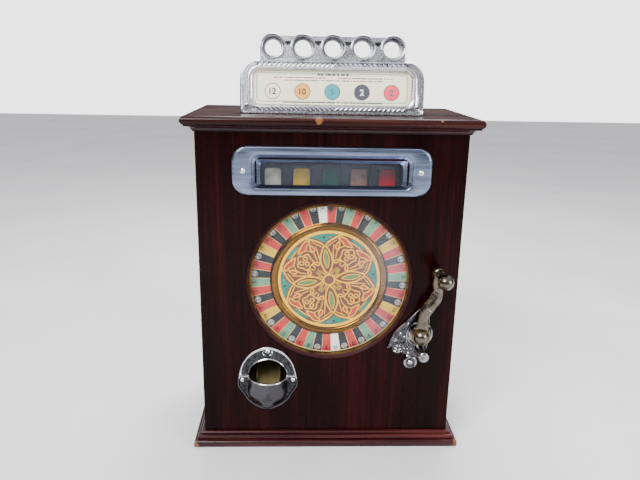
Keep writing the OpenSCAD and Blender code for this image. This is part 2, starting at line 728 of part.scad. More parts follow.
plate_relief = 5;
module handle_plate() color("#b8bcc2") difference() {
    union() {
        plate(-3, 3) translate([handle_x, handle_z]) polygon(plate_outline());
        plate(-plate_relief, 2.2) translate([handle_x + 1, handle_z - 3]) difference() {
            circle(r = 19.5);
            circle(r = 17);
        }
        bar(handle_x - 11, handle_z - 51.5, 9, -plate_relief, -3 + eps);
        bar(stop_post[0], stop_post[1], 8, -36, -3 + eps);
        taper(stop_post[0], stop_post[1], 6.5, 8, -38, -36);
    }
    bar(handle_x, handle_z, shaft_r + bush_wall + 0.5, -plate_relief - 1, 1);
    for (p = plate_screw_at) bar(p[0], p[1], 1.6, -plate_relief - 1, 1);
}
// A fan of scallops on the left, a straight right edge, and a round lobe at the foot
function plate_outline() = concat(
    [[12, 34], [2, 42], [-10, 30], [-30, 4], [-41, -9], [-48, -24], [-43, -26]],
    arc(-34, -27, 7, 175, 330, 6), arc(-22, -34, 7, 190, 330, 6),
    arc(-11, -51.5, 11, 150, 380, 12),
    [[8, -38], [15, -22], [16, 10]]);
plate_screw_at = [[handle_x - 11, handle_z - 51.5], [handle_x - 36, handle_z - 14],
    [handle_x + 3, handle_z + 33]];

// The lever: its middle line is an S, from the hub up to the ball's stud
lever_y = -16;
end_angle = 77.5;
function lever_point(t) = let (s = [[0, 0], [2, 20], [4, 34], [12, 48], [20, 60], [22, 74], [20.5, 90],
    [handle_len * cos(end_angle), handle_len * sin(end_angle)]]) s[t];
lever_r = [11, 9.4, 9, 9.6, 8.8, 7.4, 6.6, 8.2];
module lever_ball(i) translate([handle_x + lever_point(i)[0], lever_y, handle_z + lever_point(i)[1]])
    sphere(r = lever_r[i], $fn = 24);
module handle_lever() color("#a59f93") difference() {
    union() {
        bar(handle_x, handle_z, 13, -24, -6.5);
        translate([handle_x, -22, handle_z]) sphere(r = 11.4);
        for (i = [1:6]) hull() {
            lever_ball(i);
            lever_ball(i + 1);
        }
        hull() {
            lever_ball(1);
            translate([handle_x, lever_y, handle_z]) sphere(r = 9.8, $fn = 24);
        }
    }
    bar(handle_x, handle_z, shaft_r, -22, 0);
    bar(ball_x, ball_z, 3, -30, -18);
}
ball_x = handle_x + handle_len * cos(end_angle);
ball_z = handle_z + handle_len * sin(end_angle);
module handle_ball() color("#c4c2bd") {
    translate([ball_x, -ball_y, ball_z]) sphere(r = ball_r);
    bar(ball_x, ball_z, 5, -ball_y, -24);
    bar(ball_x, ball_z, 3, -25, -18);
}

// A torsion spring round the handle's axle, between the plates
spring_r = shaft_r + 5;
spring_wire = 1.1;
spring_turns = 7;
spring_y0 = plate_y + plate_t + 2 + spring_wire + pass_gap;
spring_y1 = rear_y - spring_wire - pass_gap;
function spring_ring(t) =
    let (a = t * 360, y = spring_y0 + (spring_y1 - spring_y0) * t / spring_turns)
    [for (k = [0:7]) let (b = k * 45, r = spring_r + spring_wire * cos(b))
        [handle_x + r * cos(a), y + spring_wire * sin(b), handle_z + r * sin(a)]];
module return_spring() color("#6d7176") {
    n = spring_turns * 14;
    points = [for (i = [0:n]) each spring_ring(i / 14)];
    polyhedron(points, concat([[for (k = [0:7]) k]],
        [for (i = [0:n - 1]) for (k = [0:7]) let (a = i * 8 + k, b = i * 8 + (k + 1) % 8)
            each [[a, a + 8, b], [b, a + 8, b + 8]]],
        [[for (k = [7:-1:0]) n * 8 + k]]));
}

// ---- Payout ----
module payout_pinion() color("#b5903f") difference() {
    a_first = -90 - 3 * 360 / rack_teeth;
    count = ceil(handle_turn / 360 * rack_teeth) + 6;
    plate(pinion_y, pinion_t) translate([handle_x, handle_z]) union() {
        polygon(concat([polar(4, a_first - 90)],
            [for (i = [0:count]) each tooth(rack_m, rack_teeth, a_first + i * 360 / rack_teeth)],
            [polar(4, a_first + count * 360 / rack_teeth + 90)]));
        circle(r = shaft_r + 7);
    }
    bar(handle_x, handle_z, shaft_r, pinion_y - 1, pinion_y + pinion_t + 1);
}
// The rack's teeth leave a gap straight under the pinion's axle
rack_pitch = PI * rack_m;
function rack_tooth(x) =
    let (w = rack_pitch / 4 - backlash / 4, root = w + 1.25 * rack_m * tan(20), tip = w - rack_m * tan(20))
    [[x - root, rack_z - 1.25 * rack_m], [x - tip, rack_z + rack_m],
     [x + tip, rack_z + rack_m], [x + root, rack_z - 1.25 * rack_m]];
rack_last = ceil(slide_travel / rack_pitch);
blade_x = tube_x + coin_d / 2 + 0.5;
module payout_slide() color("#9a9da2") {
    right = handle_x + (rack_last + 1) * rack_pitch;
    plate(pinion_y, pinion_t) polygon(concat(
        [[blade_x + 4, shelf_z + rail_gap], [blade_x + 4, rack_z - 1.25 * rack_m]],
        [for (i = [0:rack_last + 1]) each rack_tooth(handle_x + (i - 0.5) * rack_pitch)],
        [[right, rack_z - 1.25 * rack_m], [right, shelf_z + rail_gap]]));
    block(blade_x, blade_x + blade_l, pinion_y, tube_y + tube_in_r,
        shelf_z + rail_gap, shelf_z + coin_t - 0.1);
}
rail_gap = 0.2;
blade_l = 30;
rail_h = 6;
rail_end = handle_x + (rack_last + 1) * rack_pitch;
// The tube, the shelf that the lowest coin lies on, and the slide's rails behind the rear plate
module coin_tube() color("#b5903f") {
    difference() {
        translate([tube_x, tube_y, tube_low]) cylinder(r = tube_in_r + tube_wall, h = tube_h);
        translate([tube_x, tube_y, tube_low - 1]) cylinder(r = tube_in_r, h = tube_h + 2);
        block(tube_x - 4, tube_x + 4, tube_y, tube_y + 2 * tube_in_r, tube_low + 8, tube_low + tube_h - 8);
    }
    rear = rear_y + plate_t;
    slot_back = pinion_y + pinion_t + pass_gap;
    block(tube_x - coin_d / 3, blade_x + blade_l + 1, rear, tube_y + tube_in_r + 2,
        shelf_z - shelf_t, shelf_z);
    block(blade_x + blade_l, rail_end, rear, slot_back + 2, shelf_z - shelf_t, shelf_z);
    block(blade_x + blade_l + 2, rail_end, slot_back, slot_back + 2, shelf_z - eps, shelf_z + rail_h);
    block(blade_x, rail_end, rear, pinion_y - pass_gap, shelf_z - eps, shelf_z + rail_h);
    block(tube_x + 2, tube_x + 12, rear, tube_y - tube_in_r, tube_low + 70, tube_low + 76);
}
chute_top = [tube_y + 20, shelf_z - 16];
chute_end = [board_t, cup_z - 21];
module payout_chute() color("#8f8a5a") {
    run = chute_top[0] - chute_end[0];
    tilt = atan2(chute_top[1] - chute_end[1], run);
    length = sqrt(pow(run, 2) + pow(chute_top[1] - chute_end[1], 2));
    translate([-cup_x, chute_end[0], chute_end[1]]) rotate([tilt, 0, 0]) {
        translate([-19, 0, -1.5]) cube([38, length, 1.5]);
        for (side = [-1, 1]) translate([side * 19 - (side > 0 ? 1.5 : 0), 0, -1.5])
            cube([1.5, length, 13]);
    }
    block(-cup_x - 24, -cup_x + 24, board_t, board_t + 1.5, chute_end[1] - 12, chute_end[1]);
}

// The cup's mouth: a half round over a short straight, and grown by g all round
mouth_r = 30;
function cup_mouth(g) = concat(arc(-cup_x, cup_z - 1, mouth_r + g, 0, 180, 16),
    [[-cup_x - mouth_r - g, cup_z - 24], [-cup_x + mouth_r + g, cup_z - 24]]);
// The cup's plate: round below, with a pointed arch above
arch_w = 44.5;
arch_h = 50;
arch_R = (arch_w * arch_w + arch_h * arch_h) / (2 * arch_w);
arch_a = atan2(arch_h, arch_R - arch_w);
function cup_plate() = let (half = arc(arch_w - arch_R, 0, arch_R, 0, arch_a, 8)) concat(
    [for (p = half) [p[0] - cup_x, p[1] + cup_z + 1]],
    [for (i = [7:-1:0]) [-half[i][0] - cup_x, half[i][1] + cup_z + 1]],
    arc(-cup_x, cup_z - 15, arch_w, 180, 360, 20));
bowl_wall = 2.5;
// How far the bowl's middle is set back from the panel's face
bowl_set = 1;
// The bowl: a round bottom under a short straight wall, and cut off at the panel
module bowl(r, top, back) {
    fall = cup_deep - cup_r;
    intersection() {
        translate([-cup_x, bowl_set, cup_z - fall]) rotate(90) {
            sphere(r = r);
            cylinder(r = r, h = fall + top);
        }
        block(-cup_x - 2 * cup_r, -cup_x + 2 * cup_r, -2 * cup_r, back, 0, cup_z + top);
    }
}
cup_screw_at = [[-cup_x - 39.5, cup_z - 6], [-cup_x + 39.5, cup_z - 6], [-cup_x, cup_z + 43.5]];
module payout_cup() color("#9fa3aa") difference() {
    union() {
        plate(-3.5, 3.5) polygon(cup_plate());
        bowl(cup_r, 0, 0);
    }
    bowl(cup_r - bowl_wall, 1, 2 * bowl_set + 1);
    plate(-4.5, 5.5) polygon(cup_mouth(-0.5));
    for (p = cup_screw_at) bar(p[0], p[1], 2, -5, 1);
}

// ---- Cash box: it lifts over the cleat behind it ----
box_front = 60;
box_back = door_y - 9;
box_x = 150;
box_h = 74;
box_t = 6;
module cash_box() color("#7a5638") difference() {
    block(-box_x, box_x, box_front, box_back, board_t, board_t + box_h);
    block(-box_x + box_t, box_x - box_t, box_front + box_t, box_back - box_t,
        board_t + box_t, board_t + box_h + 1);
}

// ---- Coin head ----
module sign_outline() polygon(concat([[-sign_w / 2, -8], [sign_w / 2, -8]],
    arc(sign_w / 2 - sign_corner, sign_h - sign_corner, sign_corner, 0, 90, 10),
    arc(-sign_w / 2 + sign_corner, sign_h - sign_corner, sign_corner, 90, 180, 10)));
module above_cap() intersection() {
    children();
    block(-300, 300, 0, 300, cab_h, cab_h + 300);
}
module coin_slot_cut(low, high) for (i = channels)
    block(i * coin_pitch - coin_d / 2 - 0.5, i * coin_pitch + coin_d / 2 + 0.5, 9.5, 13.5, low, high);
module coin_head_sign() color("#c3c6cb") above_cap() leaning() difference() {
    plate(0, sign_d) sign_outline();
    plate(-1, sign_wall + 2) translate([0, (open_low + open_high) / 2])
        polygon(rounded(open_w, open_high - open_low, 12));
    plate(sign_wall, sign_d) translate([0, sign_h / 2])
        polygon(rounded(sign_w - 14, sign_h - 16, sign_corner - 7));
    block(-chute_w / 2, chute_w / 2, 7.5, 17, -20, 9);
    coin_slot_cut(sign_h - 9, sign_h + 1);
    for (side = [-1, 1]) bar(side * (sign_w / 2 - 10), 13, 2, -1, sign_wall + 1);
}
bar_low = sign_h;
web_high = ring_v - 3;
module coin_ring_bar() color("#c3c6cb") leaning() difference() {
    union() {
        block(-2 * coin_pitch - ring_r, 2 * coin_pitch + ring_r, 2, bar_d, bar_low, web_high);
        block(-2 * coin_pitch, 2 * coin_pitch, bar_d - 4, bar_d, web_high - 1, ring_v + ring_r - 0.6);
        for (i = channels) bar(i * coin_pitch, ring_v, ring_r, -ring_front, bar_d);
    }
    for (i = channels) {
        bar(i * coin_pitch, ring_v, recess_r, -ring_front - 1, ring_deep - ring_front);
        bar(i * coin_pitch, ring_v, ring_hole_r, 0, bar_d + 1);
    }
    coin_slot_cut(bar_low - 1, ring_v);
}
module sign_glass() color("#dfeeea", 0.3) leaning() block(-open_w / 2 - 3, open_w / 2 + 3,
    sign_wall, sign_wall + 0.8, open_low - 3, open_high + 3);
module sign_card() color("#ece5c8") leaning() block(-open_w / 2 - 3, open_w / 2 + 3,
    sign_wall + 0.8, sign_wall + 1.4, open_low - 3, open_high + 3);
module sign_cover() color("#8a8a8c") leaning() plate(sign_d, 1.5) translate([0, sign_h / 2 + 1])
    polygon(rounded(sign_w - 8, sign_h - 10, sign_corner - 5));

// Round-head screws of the window frame, the cup, the handle's plate and the sign
module front_screws() color("#c9ccd2") {
    for (side = [-1, 1]) screw(side * (window_w / 2 - 15.5), -window_t, window_z, 4.2, window_t + 12);
    for (p = cup_screw_at) screw(p[0], -3.5, p[1], 3.6, 15);
    screw(plate_screw_at[0][0], -plate_relief, plate_screw_at[0][1], 3.6, plate_relief + 12);
    for (i = [1, 2]) screw(plate_screw_at[i][0], -3, plate_screw_at[i][1], 3, 15);
    leaning() for (side = [-1, 1]) screw(side * (sign_w / 2 - 10), 0, 13, 3, sign_wall);
}

at_front() base_board();
at_front() base_moulding();
at_front() side_panel(-1);  // side_panel_left
at_front() side_panel(1);  // side_panel_right
at_front() front_panel();
at_front() top_cap();
at_front() crown_moulding();
at_front() back_rail();
at_front() back_door();
at_front() hinge_fixed_leaves();
at_front() hinge_door_leaves();
at_front() hinge_pins();
at_front() lock_barrel();
at_front() lock_cam();
at_front() lock_keeper();
at_front() window_frame();
at_front() window_glass();
at_front() window_bead();
at_front() colour_plates();
at_front() coin_chutes();
at_front() coin_ramp();
at_front() wheel_glass();
at_front() glass_ring();
at_front() glass_clips();
at_front() wheel_pointer();
at_front() wheel_disc();
at_front() segment_ring();
at_front() brass_bead();
at_front() rosette_disc();
at_front() rosette_fretwork();
at_front() rosette_screws();
at_front() wheel_hub();
at_front() wheel_axle();
at_front() stop_star();
at_front() mech_plate_front();
at_front() mech_plate_rear();
at_front() mech_posts();
at_front() axle_bushes();
at_front() stop_pawl();
at_front() drive_gear();
at_front() clutch_pawl();
at_front() handle_plate();
at_front() front_screws();
at_front() handle_bush();
at_front() handle_lever();
at_front() handle_ball();
at_front() handle_shaft();
at_front() gear_sector();
at_front() return_spring();
at_front() payout_pinion();
at_front() payout_slide();
at_front() coin_tube();
at_front() payout_chute();
at_front() payout_cup();
at_front() cash_box();
at_front() coin_head_sign();
at_front() coin_ring_bar();
at_front() sign_glass();
at_front() sign_card();
at_front() sign_cover();
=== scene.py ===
"""Looks of the colour-wheel coin machine: a polished wooden cabinet with a nickel coin
head, a painted wheel behind glass, a pull-down handle and a payout cup."""
import math

import bmesh
import bpy
import numpy as np
from mathutils import Matrix, Vector


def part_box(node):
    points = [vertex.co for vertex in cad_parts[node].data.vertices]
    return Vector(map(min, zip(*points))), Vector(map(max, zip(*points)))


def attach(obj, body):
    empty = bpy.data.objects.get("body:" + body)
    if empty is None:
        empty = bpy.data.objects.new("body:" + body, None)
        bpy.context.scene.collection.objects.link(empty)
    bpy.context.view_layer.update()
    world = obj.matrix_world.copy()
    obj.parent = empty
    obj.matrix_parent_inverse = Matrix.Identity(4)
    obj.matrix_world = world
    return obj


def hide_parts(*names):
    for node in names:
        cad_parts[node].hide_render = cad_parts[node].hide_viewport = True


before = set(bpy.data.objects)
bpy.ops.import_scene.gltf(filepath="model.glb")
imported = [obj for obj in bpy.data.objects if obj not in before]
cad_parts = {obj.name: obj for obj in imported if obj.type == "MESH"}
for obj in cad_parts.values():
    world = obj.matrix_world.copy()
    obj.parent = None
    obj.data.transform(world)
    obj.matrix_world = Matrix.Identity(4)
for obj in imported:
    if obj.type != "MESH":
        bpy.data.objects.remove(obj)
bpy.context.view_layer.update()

# ---- Places, in millimetres, from the frame ----
MM = 0.001


def span(node):
    """Lowest and highest corner of a CAD node, in millimetres."""
    low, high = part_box(node)
    return np.array(low) / MM, np.array(high) / MM


FACE = span("front_panel")[0][1]
disc_low, disc_high = span("wheel_disc")
WHEEL_R = (disc_high[0] - disc_low[0]) / 2
WHEEL_Z = (disc_high[2] + disc_low[2]) / 2
bead_low, bead_high = span("brass_bead")
BEAD_R = (bead_high[0] - bead_low[0]) / 2
SEGMENT_Y = span("segment_ring")[0][1]
ROSETTE_Y = span("rosette_disc")[0][1]
FRET_Y = span("rosette_fretwork")[0][1]
ROSETTE_R = span("rosette_disc")[1][0]
SEGMENTS = 50
rng = np.random.default_rng(7)


# ---- Shapes: arrays of points, and faces as lists of point numbers ----
def loft(rings, ring_round=False):
    """Skin over rings of points: point (r, c) joins (r, c+1), (r+1, c+1) and (r+1, c), with
    the columns closed round. The rows close round too if ring_round, and end in caps if not."""
    rows, cols = rings.shape[:2]
    r = np.arange(rows if ring_round else rows - 1)[:, None]
    c = np.arange(cols)[None, :]
    down, along = (r + 1) % rows, (c + 1) % cols
    quads = np.stack([r * cols + c, r * cols + along, down * cols + along, down * cols + c], axis=-1)
    faces = quads.reshape(-1, 4).tolist()
    if not ring_round:
        faces.append(list(range(cols))[::-1])
        faces.append(list(range((rows - 1) * cols, rows * cols)))
    return rings.reshape(-1, 3), faces


def merge(shapes):
    """Several shapes as one: their points in a row, and their faces moved along to match."""
    points, faces, start = [], [], 0
    for some_points, some_faces in shapes:
        points.append(some_points)
        faces += [[k + start for k in face] for face in some_faces]
        start += len(some_points)
    return np.concatenate(points), faces


def front(flat, y):
    """Points (x, z) of the front's plane as points (x, y, z)."""
    flat = np.asarray(flat, float)
    return np.stack([flat[..., 0], np.broadcast_to(y, flat.shape[:-1]), flat[..., 1]], axis=-1)


def turned(flat, degrees, centre=(0, 0)):
    """Flat points turned clockwise about the origin, then moved to centre."""
    a = math.radians(degrees)
    turn = np.array([[math.cos(a), -math.sin(a)], [math.sin(a), math.cos(a)]])
    return np.asarray(flat, float) @ turn + np.asarray(centre, float)


def polar(radius, degrees):
    """Flat point at a radius and an angle clockwise from the top: (r sin a, r cos a)."""
    a = np.radians(degrees)
    return np.stack([radius * np.sin(a), radius * np.cos(a)], axis=-1)


def arc(centre, radius, start, stop, count=16):
    """Arc round centre, from start to stop degrees clockwise from the top."""
    return polar(radius, np.linspace(start, stop, count)) + np.asarray(centre, float)


def smooth(points, steps=6, closed=False):
    """Catmull-Rom curve through the points: each stretch is the cubic whose slope at a point
    is half the way between that point's neighbours."""
    p = np.asarray(points, float)
    q = np.concatenate([p[-1:], p, p[:2]]) if closed else np.concatenate([p[:1], p, p[-1:]])
    t = np.linspace(0, 1, steps, endpoint=False)[None, :, None]
    a, b, c, d = q[:-3, None], q[1:-2, None], q[2:-1, None], q[3:, None]
    curve = 0.5 * (2 * b + (c - a) * t + (2 * a - 5 * b + 4 * c - d) * t**2
                   + (3 * b - a - 3 * c + d) * t**3)
    curve = curve.reshape(-1, p.shape[1])
    return curve if closed else np.concatenate([curve, p[-1:]])


def side_of(path, closed=False):
    """Unit normal at each point of a flat path: the slope between its neighbours, turned."""
    if closed:
        slope = np.roll(path, -1, axis=0) - np.roll(path, 1, axis=0)
    else:
        slope = np.gradient(path, axis=0)
    slope /= np.linalg.norm(slope, axis=1, keepdims=True) + 1e-9
    return np.stack([-slope[:, 1], slope[:, 0]], axis=1)


def ribbon(path, half_width, height, y, closed=False, pointed=False, sides=8):
    """A raised line on the plane y: at each point of the path stands a flattened round of
    half_width cos t across and height sin t forward, flat below. Pointed ends narrow."""
    path = np.asarray(path, float)
    across = side_of(path, closed)
    t = np.linspace(0, 2 * np.pi, sides, endpoint=False)
    width = np.full(len(path), float(half_width))
    if pointed:
        width = width * (0.25 + 0.75 * np.sin(np.linspace(0.05, np.pi - 0.05, len(path))) ** 0.6)
    flat = path[:, None, :] + across[:, None, :] * (width[:, None] * np.cos(t))[:, :, None]
    lift = height * np.maximum(np.sin(t), -0.25)[None, :] * np.ones((len(path), 1))
    return loft(front(flat, y - lift), ring_round=closed)


def plate(outline, y_back, y_front, bevel, crown=0.0):
    """A flat piece with a bevelled front edge: its outline, the same pulled in by the bevel,
    and for a crown three smaller copies, k times as large and lifted by crown (1 - k k)."""
    outline = np.asarray(outline, float)
    x, z = outline.T
    area = np.sum(x * np.roll(z, -1) - z * np.roll(x, -1))
    inward = side_of(outline, True) * np.sign(area)
    middle = outline.mean(axis=0)
    inset = outline + inward * bevel
    levels = [(outline, y_back), (outline, y_front + bevel * 0.8), (inset, y_front)]
    if crown:
        levels += [(middle + (inset - middle) * k, y_front - crown * (1 - k * k)) for k in (0.7, 0.4, 0.12)]
    return loft(np.stack([front(flat, y) for flat, y in levels]))


def revolve(profile, centre, sides):
    """A profile of (radius, y) turned about the line y through centre:
    (r, y) at angle t goes to (r sin t, y, r cos t)."""
    profile = np.asarray(profile, float)
    t = np.linspace(0, 2 * np.pi, sides, endpoint=False)
    x = centre[0] + profile[:, :1] * np.sin(t)
    z = centre[1] + profile[:, :1] * np.cos(t)
    return loft(np.stack([x, np.broadcast_to(profile[:, 1:], x.shape), z], axis=-1), ring_round=True)


def rounded(half_w, half_h, corner, centre=(0, 0), count=9, low_corner=None):
    """Rectangle with a quarter round at each corner, clockwise from the upper left."""
    low = corner if low_corner is None else low_corner
    rounds = [(-1, 1, corner, 270), (1, 1, corner, 0), (1, -1, low, 90), (-1, -1, low, 180)]
    parts = [arc((centre[0] + sx * (half_w - r), centre[1] + sz * (half_h - r)), r, a, a + 90, count)
             for sx, sz, r, a in rounds]
    return np.concatenate(parts)


TYPE_SHARE = 0.72  # a figure's height as a share of its type size
NUMERAL_DEPTH = 0.12
SMALL_NUMERAL = 8


def numeral(text, height):
    """A number's filled outline of that height, centred: its flat points, the depth of each,
    and the faces. Figures from SMALL_NUMERAL up are drawn bolder."""
    curve = bpy.data.curves.new("numeral", "FONT")
    curve.body = text
    curve.size = height / TYPE_SHARE
    curve.align_x, curve.align_y = "CENTER", "CENTER"
    curve.resolution_u = 2
    curve.extrude = NUMERAL_DEPTH
    curve.offset = height * (0.022 if height < SMALL_NUMERAL else 0.034)
    holder = bpy.data.objects.new("numeral", curve)
    mesh = holder.to_mesh()
    points = np.empty(len(mesh.vertices) * 3)
    mesh.vertices.foreach_get("co", points)
    faces = [list(face.vertices) for face in mesh.polygons]
    holder.to_mesh_clear()
    bpy.data.objects.remove(holder)
    bpy.data.curves.remove(curve)
    points = points.reshape(-1, 3)
    flat = points[:, :2] - (points[:, :2].max(axis=0) + points[:, :2].min(axis=0)) / 2
    return flat, points[:, 2], faces


def piece(name, body, shapes, materials, nodes=(), sharp=35):
    """A finished piece from (shape, material number) pairs. It rides on its body and
    stands for the CAD nodes named."""
    points, faces = merge([shape for shape, _ in shapes])
    numbers = np.concatenate([np.full(len(shape[1]), number) for shape, number in shapes])
    mesh = bpy.data.meshes.new(name)
    mesh.from_pydata((points * MM).tolist(), [], faces)
    for material in materials:
        mesh.materials.append(material)
    mesh.polygons.foreach_set("material_index", numbers.astype(np.int32))
    mesh.polygons.foreach_set("use_smooth", np.ones(len(faces), bool))
    shell = bmesh.new()
    shell.from_mesh(mesh)
    bmesh.ops.recalc_face_normals(shell, faces=shell.faces)
    shell.to_mesh(mesh)
    shell.free()
    mesh.set_sharp_from_angle(angle=math.radians(sharp))
    made = bpy.data.objects.new(name, mesh)
    bpy.context.collection.objects.link(made)
    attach(made, body)
    if nodes:
        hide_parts(*nodes)
    return made


# ---- Finishes ----
GAMMA = 2.2
HIGHLIGHT_REACH = 200  # millimetres from the painted highlight ring's centre to where its level reaches 0
CLEAR_ALPHA = 0.012  # what a pane without its veil of dust and painted reflection still shows of itself


def paint(red, green, blue):
    """A colour of the paint box, 0 to 255 as a screen shows it, as the shader's linear colour."""
    return tuple((c / 255) ** GAMMA for c in (red, green, blue)) + (1.0,)


class Finish:
    """A material being made: its shader, and one method for each kind of pattern."""

    def __init__(self, name, colour, roughness, metallic=0.0, **sockets):
        self.material = bpy.data.materials.new(name)
        self.material.use_nodes = True
        self.tree = self.material.node_tree
        self.shader = self.tree.nodes["Principled BSDF"]
        self.shader.inputs["Base Color"].default_value = colour
        self.shader.inputs["Roughness"].default_value = roughness
        self.shader.inputs["Metallic"].default_value = metallic
        for socket, value in sockets.items():
            self.shader.inputs[socket.replace("_", " ")].default_value = value
        self.place = self.tree.nodes.new("ShaderNodeTexCoord").outputs["Object"]

    def node(self, kind, settings=(), **inputs):
        """A node with inputs given by name, or by number as _0. A socket is linked, and
        anything else is set."""
        made = self.tree.nodes.new("ShaderNode" + kind)
        for key, value in dict(settings).items():
            setattr(made, key, value)
        for key, value in inputs.items():
            number = key[1:]
            socket = made.inputs[int(number) if number.isdigit() else key.replace("_", " ")]
            if isinstance(value, bpy.types.NodeSocket):
                self.tree.links.new(value, socket)
            else:
                socket.default_value = value
        return made

    def noise(self, scale, detail=4.0, roughness=0.55, shift=(0, 0, 0)):
        """Noise at scale cycles a metre along each axis, about 0.5 on average."""
        held = self.node("Mapping", Vector=self.place, Location=shift, Scale=scale)
        return self.node("TexNoise", Vector=held.outputs[0], Scale=1.0, Detail=detail,
                         Roughness=roughness).outputs[0]

    def ramp(self, value, stops):
        """Colours or levels between stops of (position, colour)."""
        made = self.node("ValToRGB", Fac=value)
        elements = made.color_ramp.elements
        while len(elements) < len(stops):
            elements.new(0.5)
        for element, (position, colour) in zip(elements, stops):
            element.position = position
            element.color = colour if isinstance(colour, tuple) else (colour, colour, colour, 1)
        return made.outputs[0]

    def math(self, kind, a, b):
        return self.node("Math", {"operation": kind, "use_clamp": True}, _0=a, _1=b).outputs[0]

    def mix(self, share, a, b):
        """Colour a, going over to colour b as the share goes from 0 to 1."""
        return self.node("Mix", {"data_type": "RGBA"}, _0=share, _6=a, _7=b).outputs[2]

    def near(self, spots):
        """1 at the spots (x, y, z, radius in mm), falling to 0 at their radius."""
        total = None
        for x, y, z, radius in spots:
            gap = self.node("VectorMath", {"operation": "DISTANCE"}, _0=self.place,
                            _1=(x * MM, y * MM, z * MM)).outputs["Value"]
            level = self.node("MapRange", Value=gap, From_Min=0.0, From_Max=radius * MM,
                              To_Min=1.0, To_Max=0.0).outputs[0]
            total = level if total is None else self.math("MAXIMUM", total, level)
        return total

    def colour(self, value):
        self.tree.links.new(value, self.shader.inputs["Base Color"])
        return self

    def rough(self, value):
        self.tree.links.new(value, self.shader.inputs["Roughness"])
        return self

    def bump(self, height, distance, strength):
        made = self.node("Bump", Height=height, Distance=distance, Strength=strength)
        self.tree.links.new(made.outputs[0], self.shader.inputs["Normal"])
        return self


def stretched(axis, across, length):
    """Scales of a noise: length along the axis, and across along the other two."""
    return tuple(length if other == axis else across for other in range(3))


def polished_wood(name, along, dark, mid, light, worn=(), gloss=0.22, sheen=0.03, ring=None):
    """French-polished wood: broad figure and fine streaks stretched along one axis, pores in
    the bump, smears in the gloss, a clear coat as strong as the sheen, and bare wood at the
    worn spots. A ring (x, y, z, inner, outer) adds a painted highlight between its two radii:
    a paler band standing in for light caught on a rounded edge."""
    made = Finish(name, mid, gloss, Coat_Weight=sheen, Coat_Roughness=0.2, Specular_IOR_Level=0.06)
    figure = made.noise(stretched(along, 26, 2.2), 3)
    streak = made.noise(stretched(along, 190, 5), 6, 0.7)
    grain = made.mix(0.55, figure, streak)
    colour = made.ramp(grain, [(0.36, dark), (0.5, mid), (0.66, light)])
    pores = made.noise(stretched(along, 900, 28), 2)
    colour = made.mix(made.ramp(pores, [(0.28, 0.7), (0.42, 0.0)]), colour, dark)
    if worn:
        patchy = made.ramp(made.noise((160, 160, 160), 5), [(0.3, 0.4), (0.7, 1.6)])
        edge = made.math("MULTIPLY", made.near(worn), patchy)
        colour = made.mix(made.ramp(edge, [(0.42, 0.0), (0.52, 1.0)]), colour, paint(112, 72, 44))
    # The paler band is a painted highlight: light caught on the rounded edge round the ring's opening.
    if ring:
        level = made.near([ring[:3] + (HIGHLIGHT_REACH,)])
        inner, outer = 1 - ring[3] / HIGHLIGHT_REACH, 1 - ring[4] / HIGHLIGHT_REACH
        band = made.ramp(level, [(outer - 0.004, 0.0), (outer + 0.003, 0.4), (inner - 0.003, 0.8),
                                 (inner + 0.004, 0.2)])
        colour = made.mix(band, colour, paint(66, 42, 44))
    smears = made.noise((16, 16, 16), 4)
    made.colour(colour).rough(made.ramp(smears, [(0.3, gloss - 0.08), (0.7, gloss + 0.16)]))
    return made.bump(pores, 0.00012, 0.35).material


def plated(name, bright, dark, gloss, tarnish=0.5, scale=60):
    """Nickel plate: clouds of tarnish, speckled pits, fine scratches in the gloss."""
    made = Finish(name, bright, gloss, 1.0)
    clouds = made.noise((scale, scale, scale), 5, 0.6)
    pits = made.noise((900, 900, 900), 3)
    colour = made.mix(made.ramp(clouds, [(tarnish, 0.0), (tarnish + 0.16, 0.85)]), bright, dark)
    colour = made.mix(made.ramp(pits, [(0.68, 0.0), (0.76, 0.7)]), colour, dark)
    scratches = made.noise((500, 40, 900), 4)
    made.colour(colour).rough(made.ramp(scratches, [(0.3, gloss * 0.6), (0.75, gloss * 1.9)]))
    return made.bump(pits, 0.00006, 0.3).material


def brushed(name, colour, gloss, along):
    """Metal rubbed one way: long fine lines in gloss and bump."""
    made = Finish(name, colour, gloss, 1.0)
    lines = made.noise(stretched(along, 1400, 12), 3)
    broad = made.noise(stretched(along, 90, 7), 4)
    dull = tuple(c * 0.62 for c in colour[:3]) + (1.0,)
    made.colour(made.ramp(broad, [(0.35, dull), (0.6, colour)]))
    made.rough(made.ramp(lines, [(0.3, gloss * 0.6), (0.7, gloss * 1.7)]))
    return made.bump(lines, 0.00004, 0.25).material


def enamel(name, colour, mottle=0.75, gloss=0.35):
    """Old enamel: faintly mottled, with small dark specks and uneven gloss."""
    made = Finish(name, colour, gloss)
    shade = tuple(c * mottle for c in colour[:3]) + (1.0,)
    clouds = made.noise((110, 110, 110), 5, 0.65)
    specks = made.noise((700, 700, 700), 2)
    base = made.ramp(clouds, [(0.36, shade), (0.6, colour)])
    made.colour(made.mix(made.ramp(specks, [(0.7, 0.0), (0.75, 0.6)]), base, paint(60, 40, 30)))
    made.rough(made.ramp(clouds, [(0.3, gloss - 0.1), (0.7, gloss + 0.15)]))
    return made.bump(clouds, 0.0001, 0.2).material


def dust_and_glare_glass(name, dust_and_glare, spots):
    """Thin clear pane: nearly all light passes, and a pale bluish veil lies in clouds, thickest at the
    spots: partly dust, partly a painted reflection of bright light.
    """
    made = Finish(name, paint(205, 215, 235), 0.05, Specular_IOR_Level=0.2)
    clouds = made.noise((30, 30, 30), 6, 0.7)
    cover = made.math("MULTIPLY", made.near(spots), made.ramp(clouds, [(0.3, 0.35), (0.7, 1.0)]))
    veil = made.math("MULTIPLY", cover, dust_and_glare)
    alpha = made.math("ADD", veil, CLEAR_ALPHA)
    made.tree.links.new(alpha, made.shader.inputs["Alpha"])
    made.rough(made.ramp(cover, [(0.1, 0.04), (0.8, 0.5)]))
    made.material.surface_render_method = "BLENDED"
    return made.material


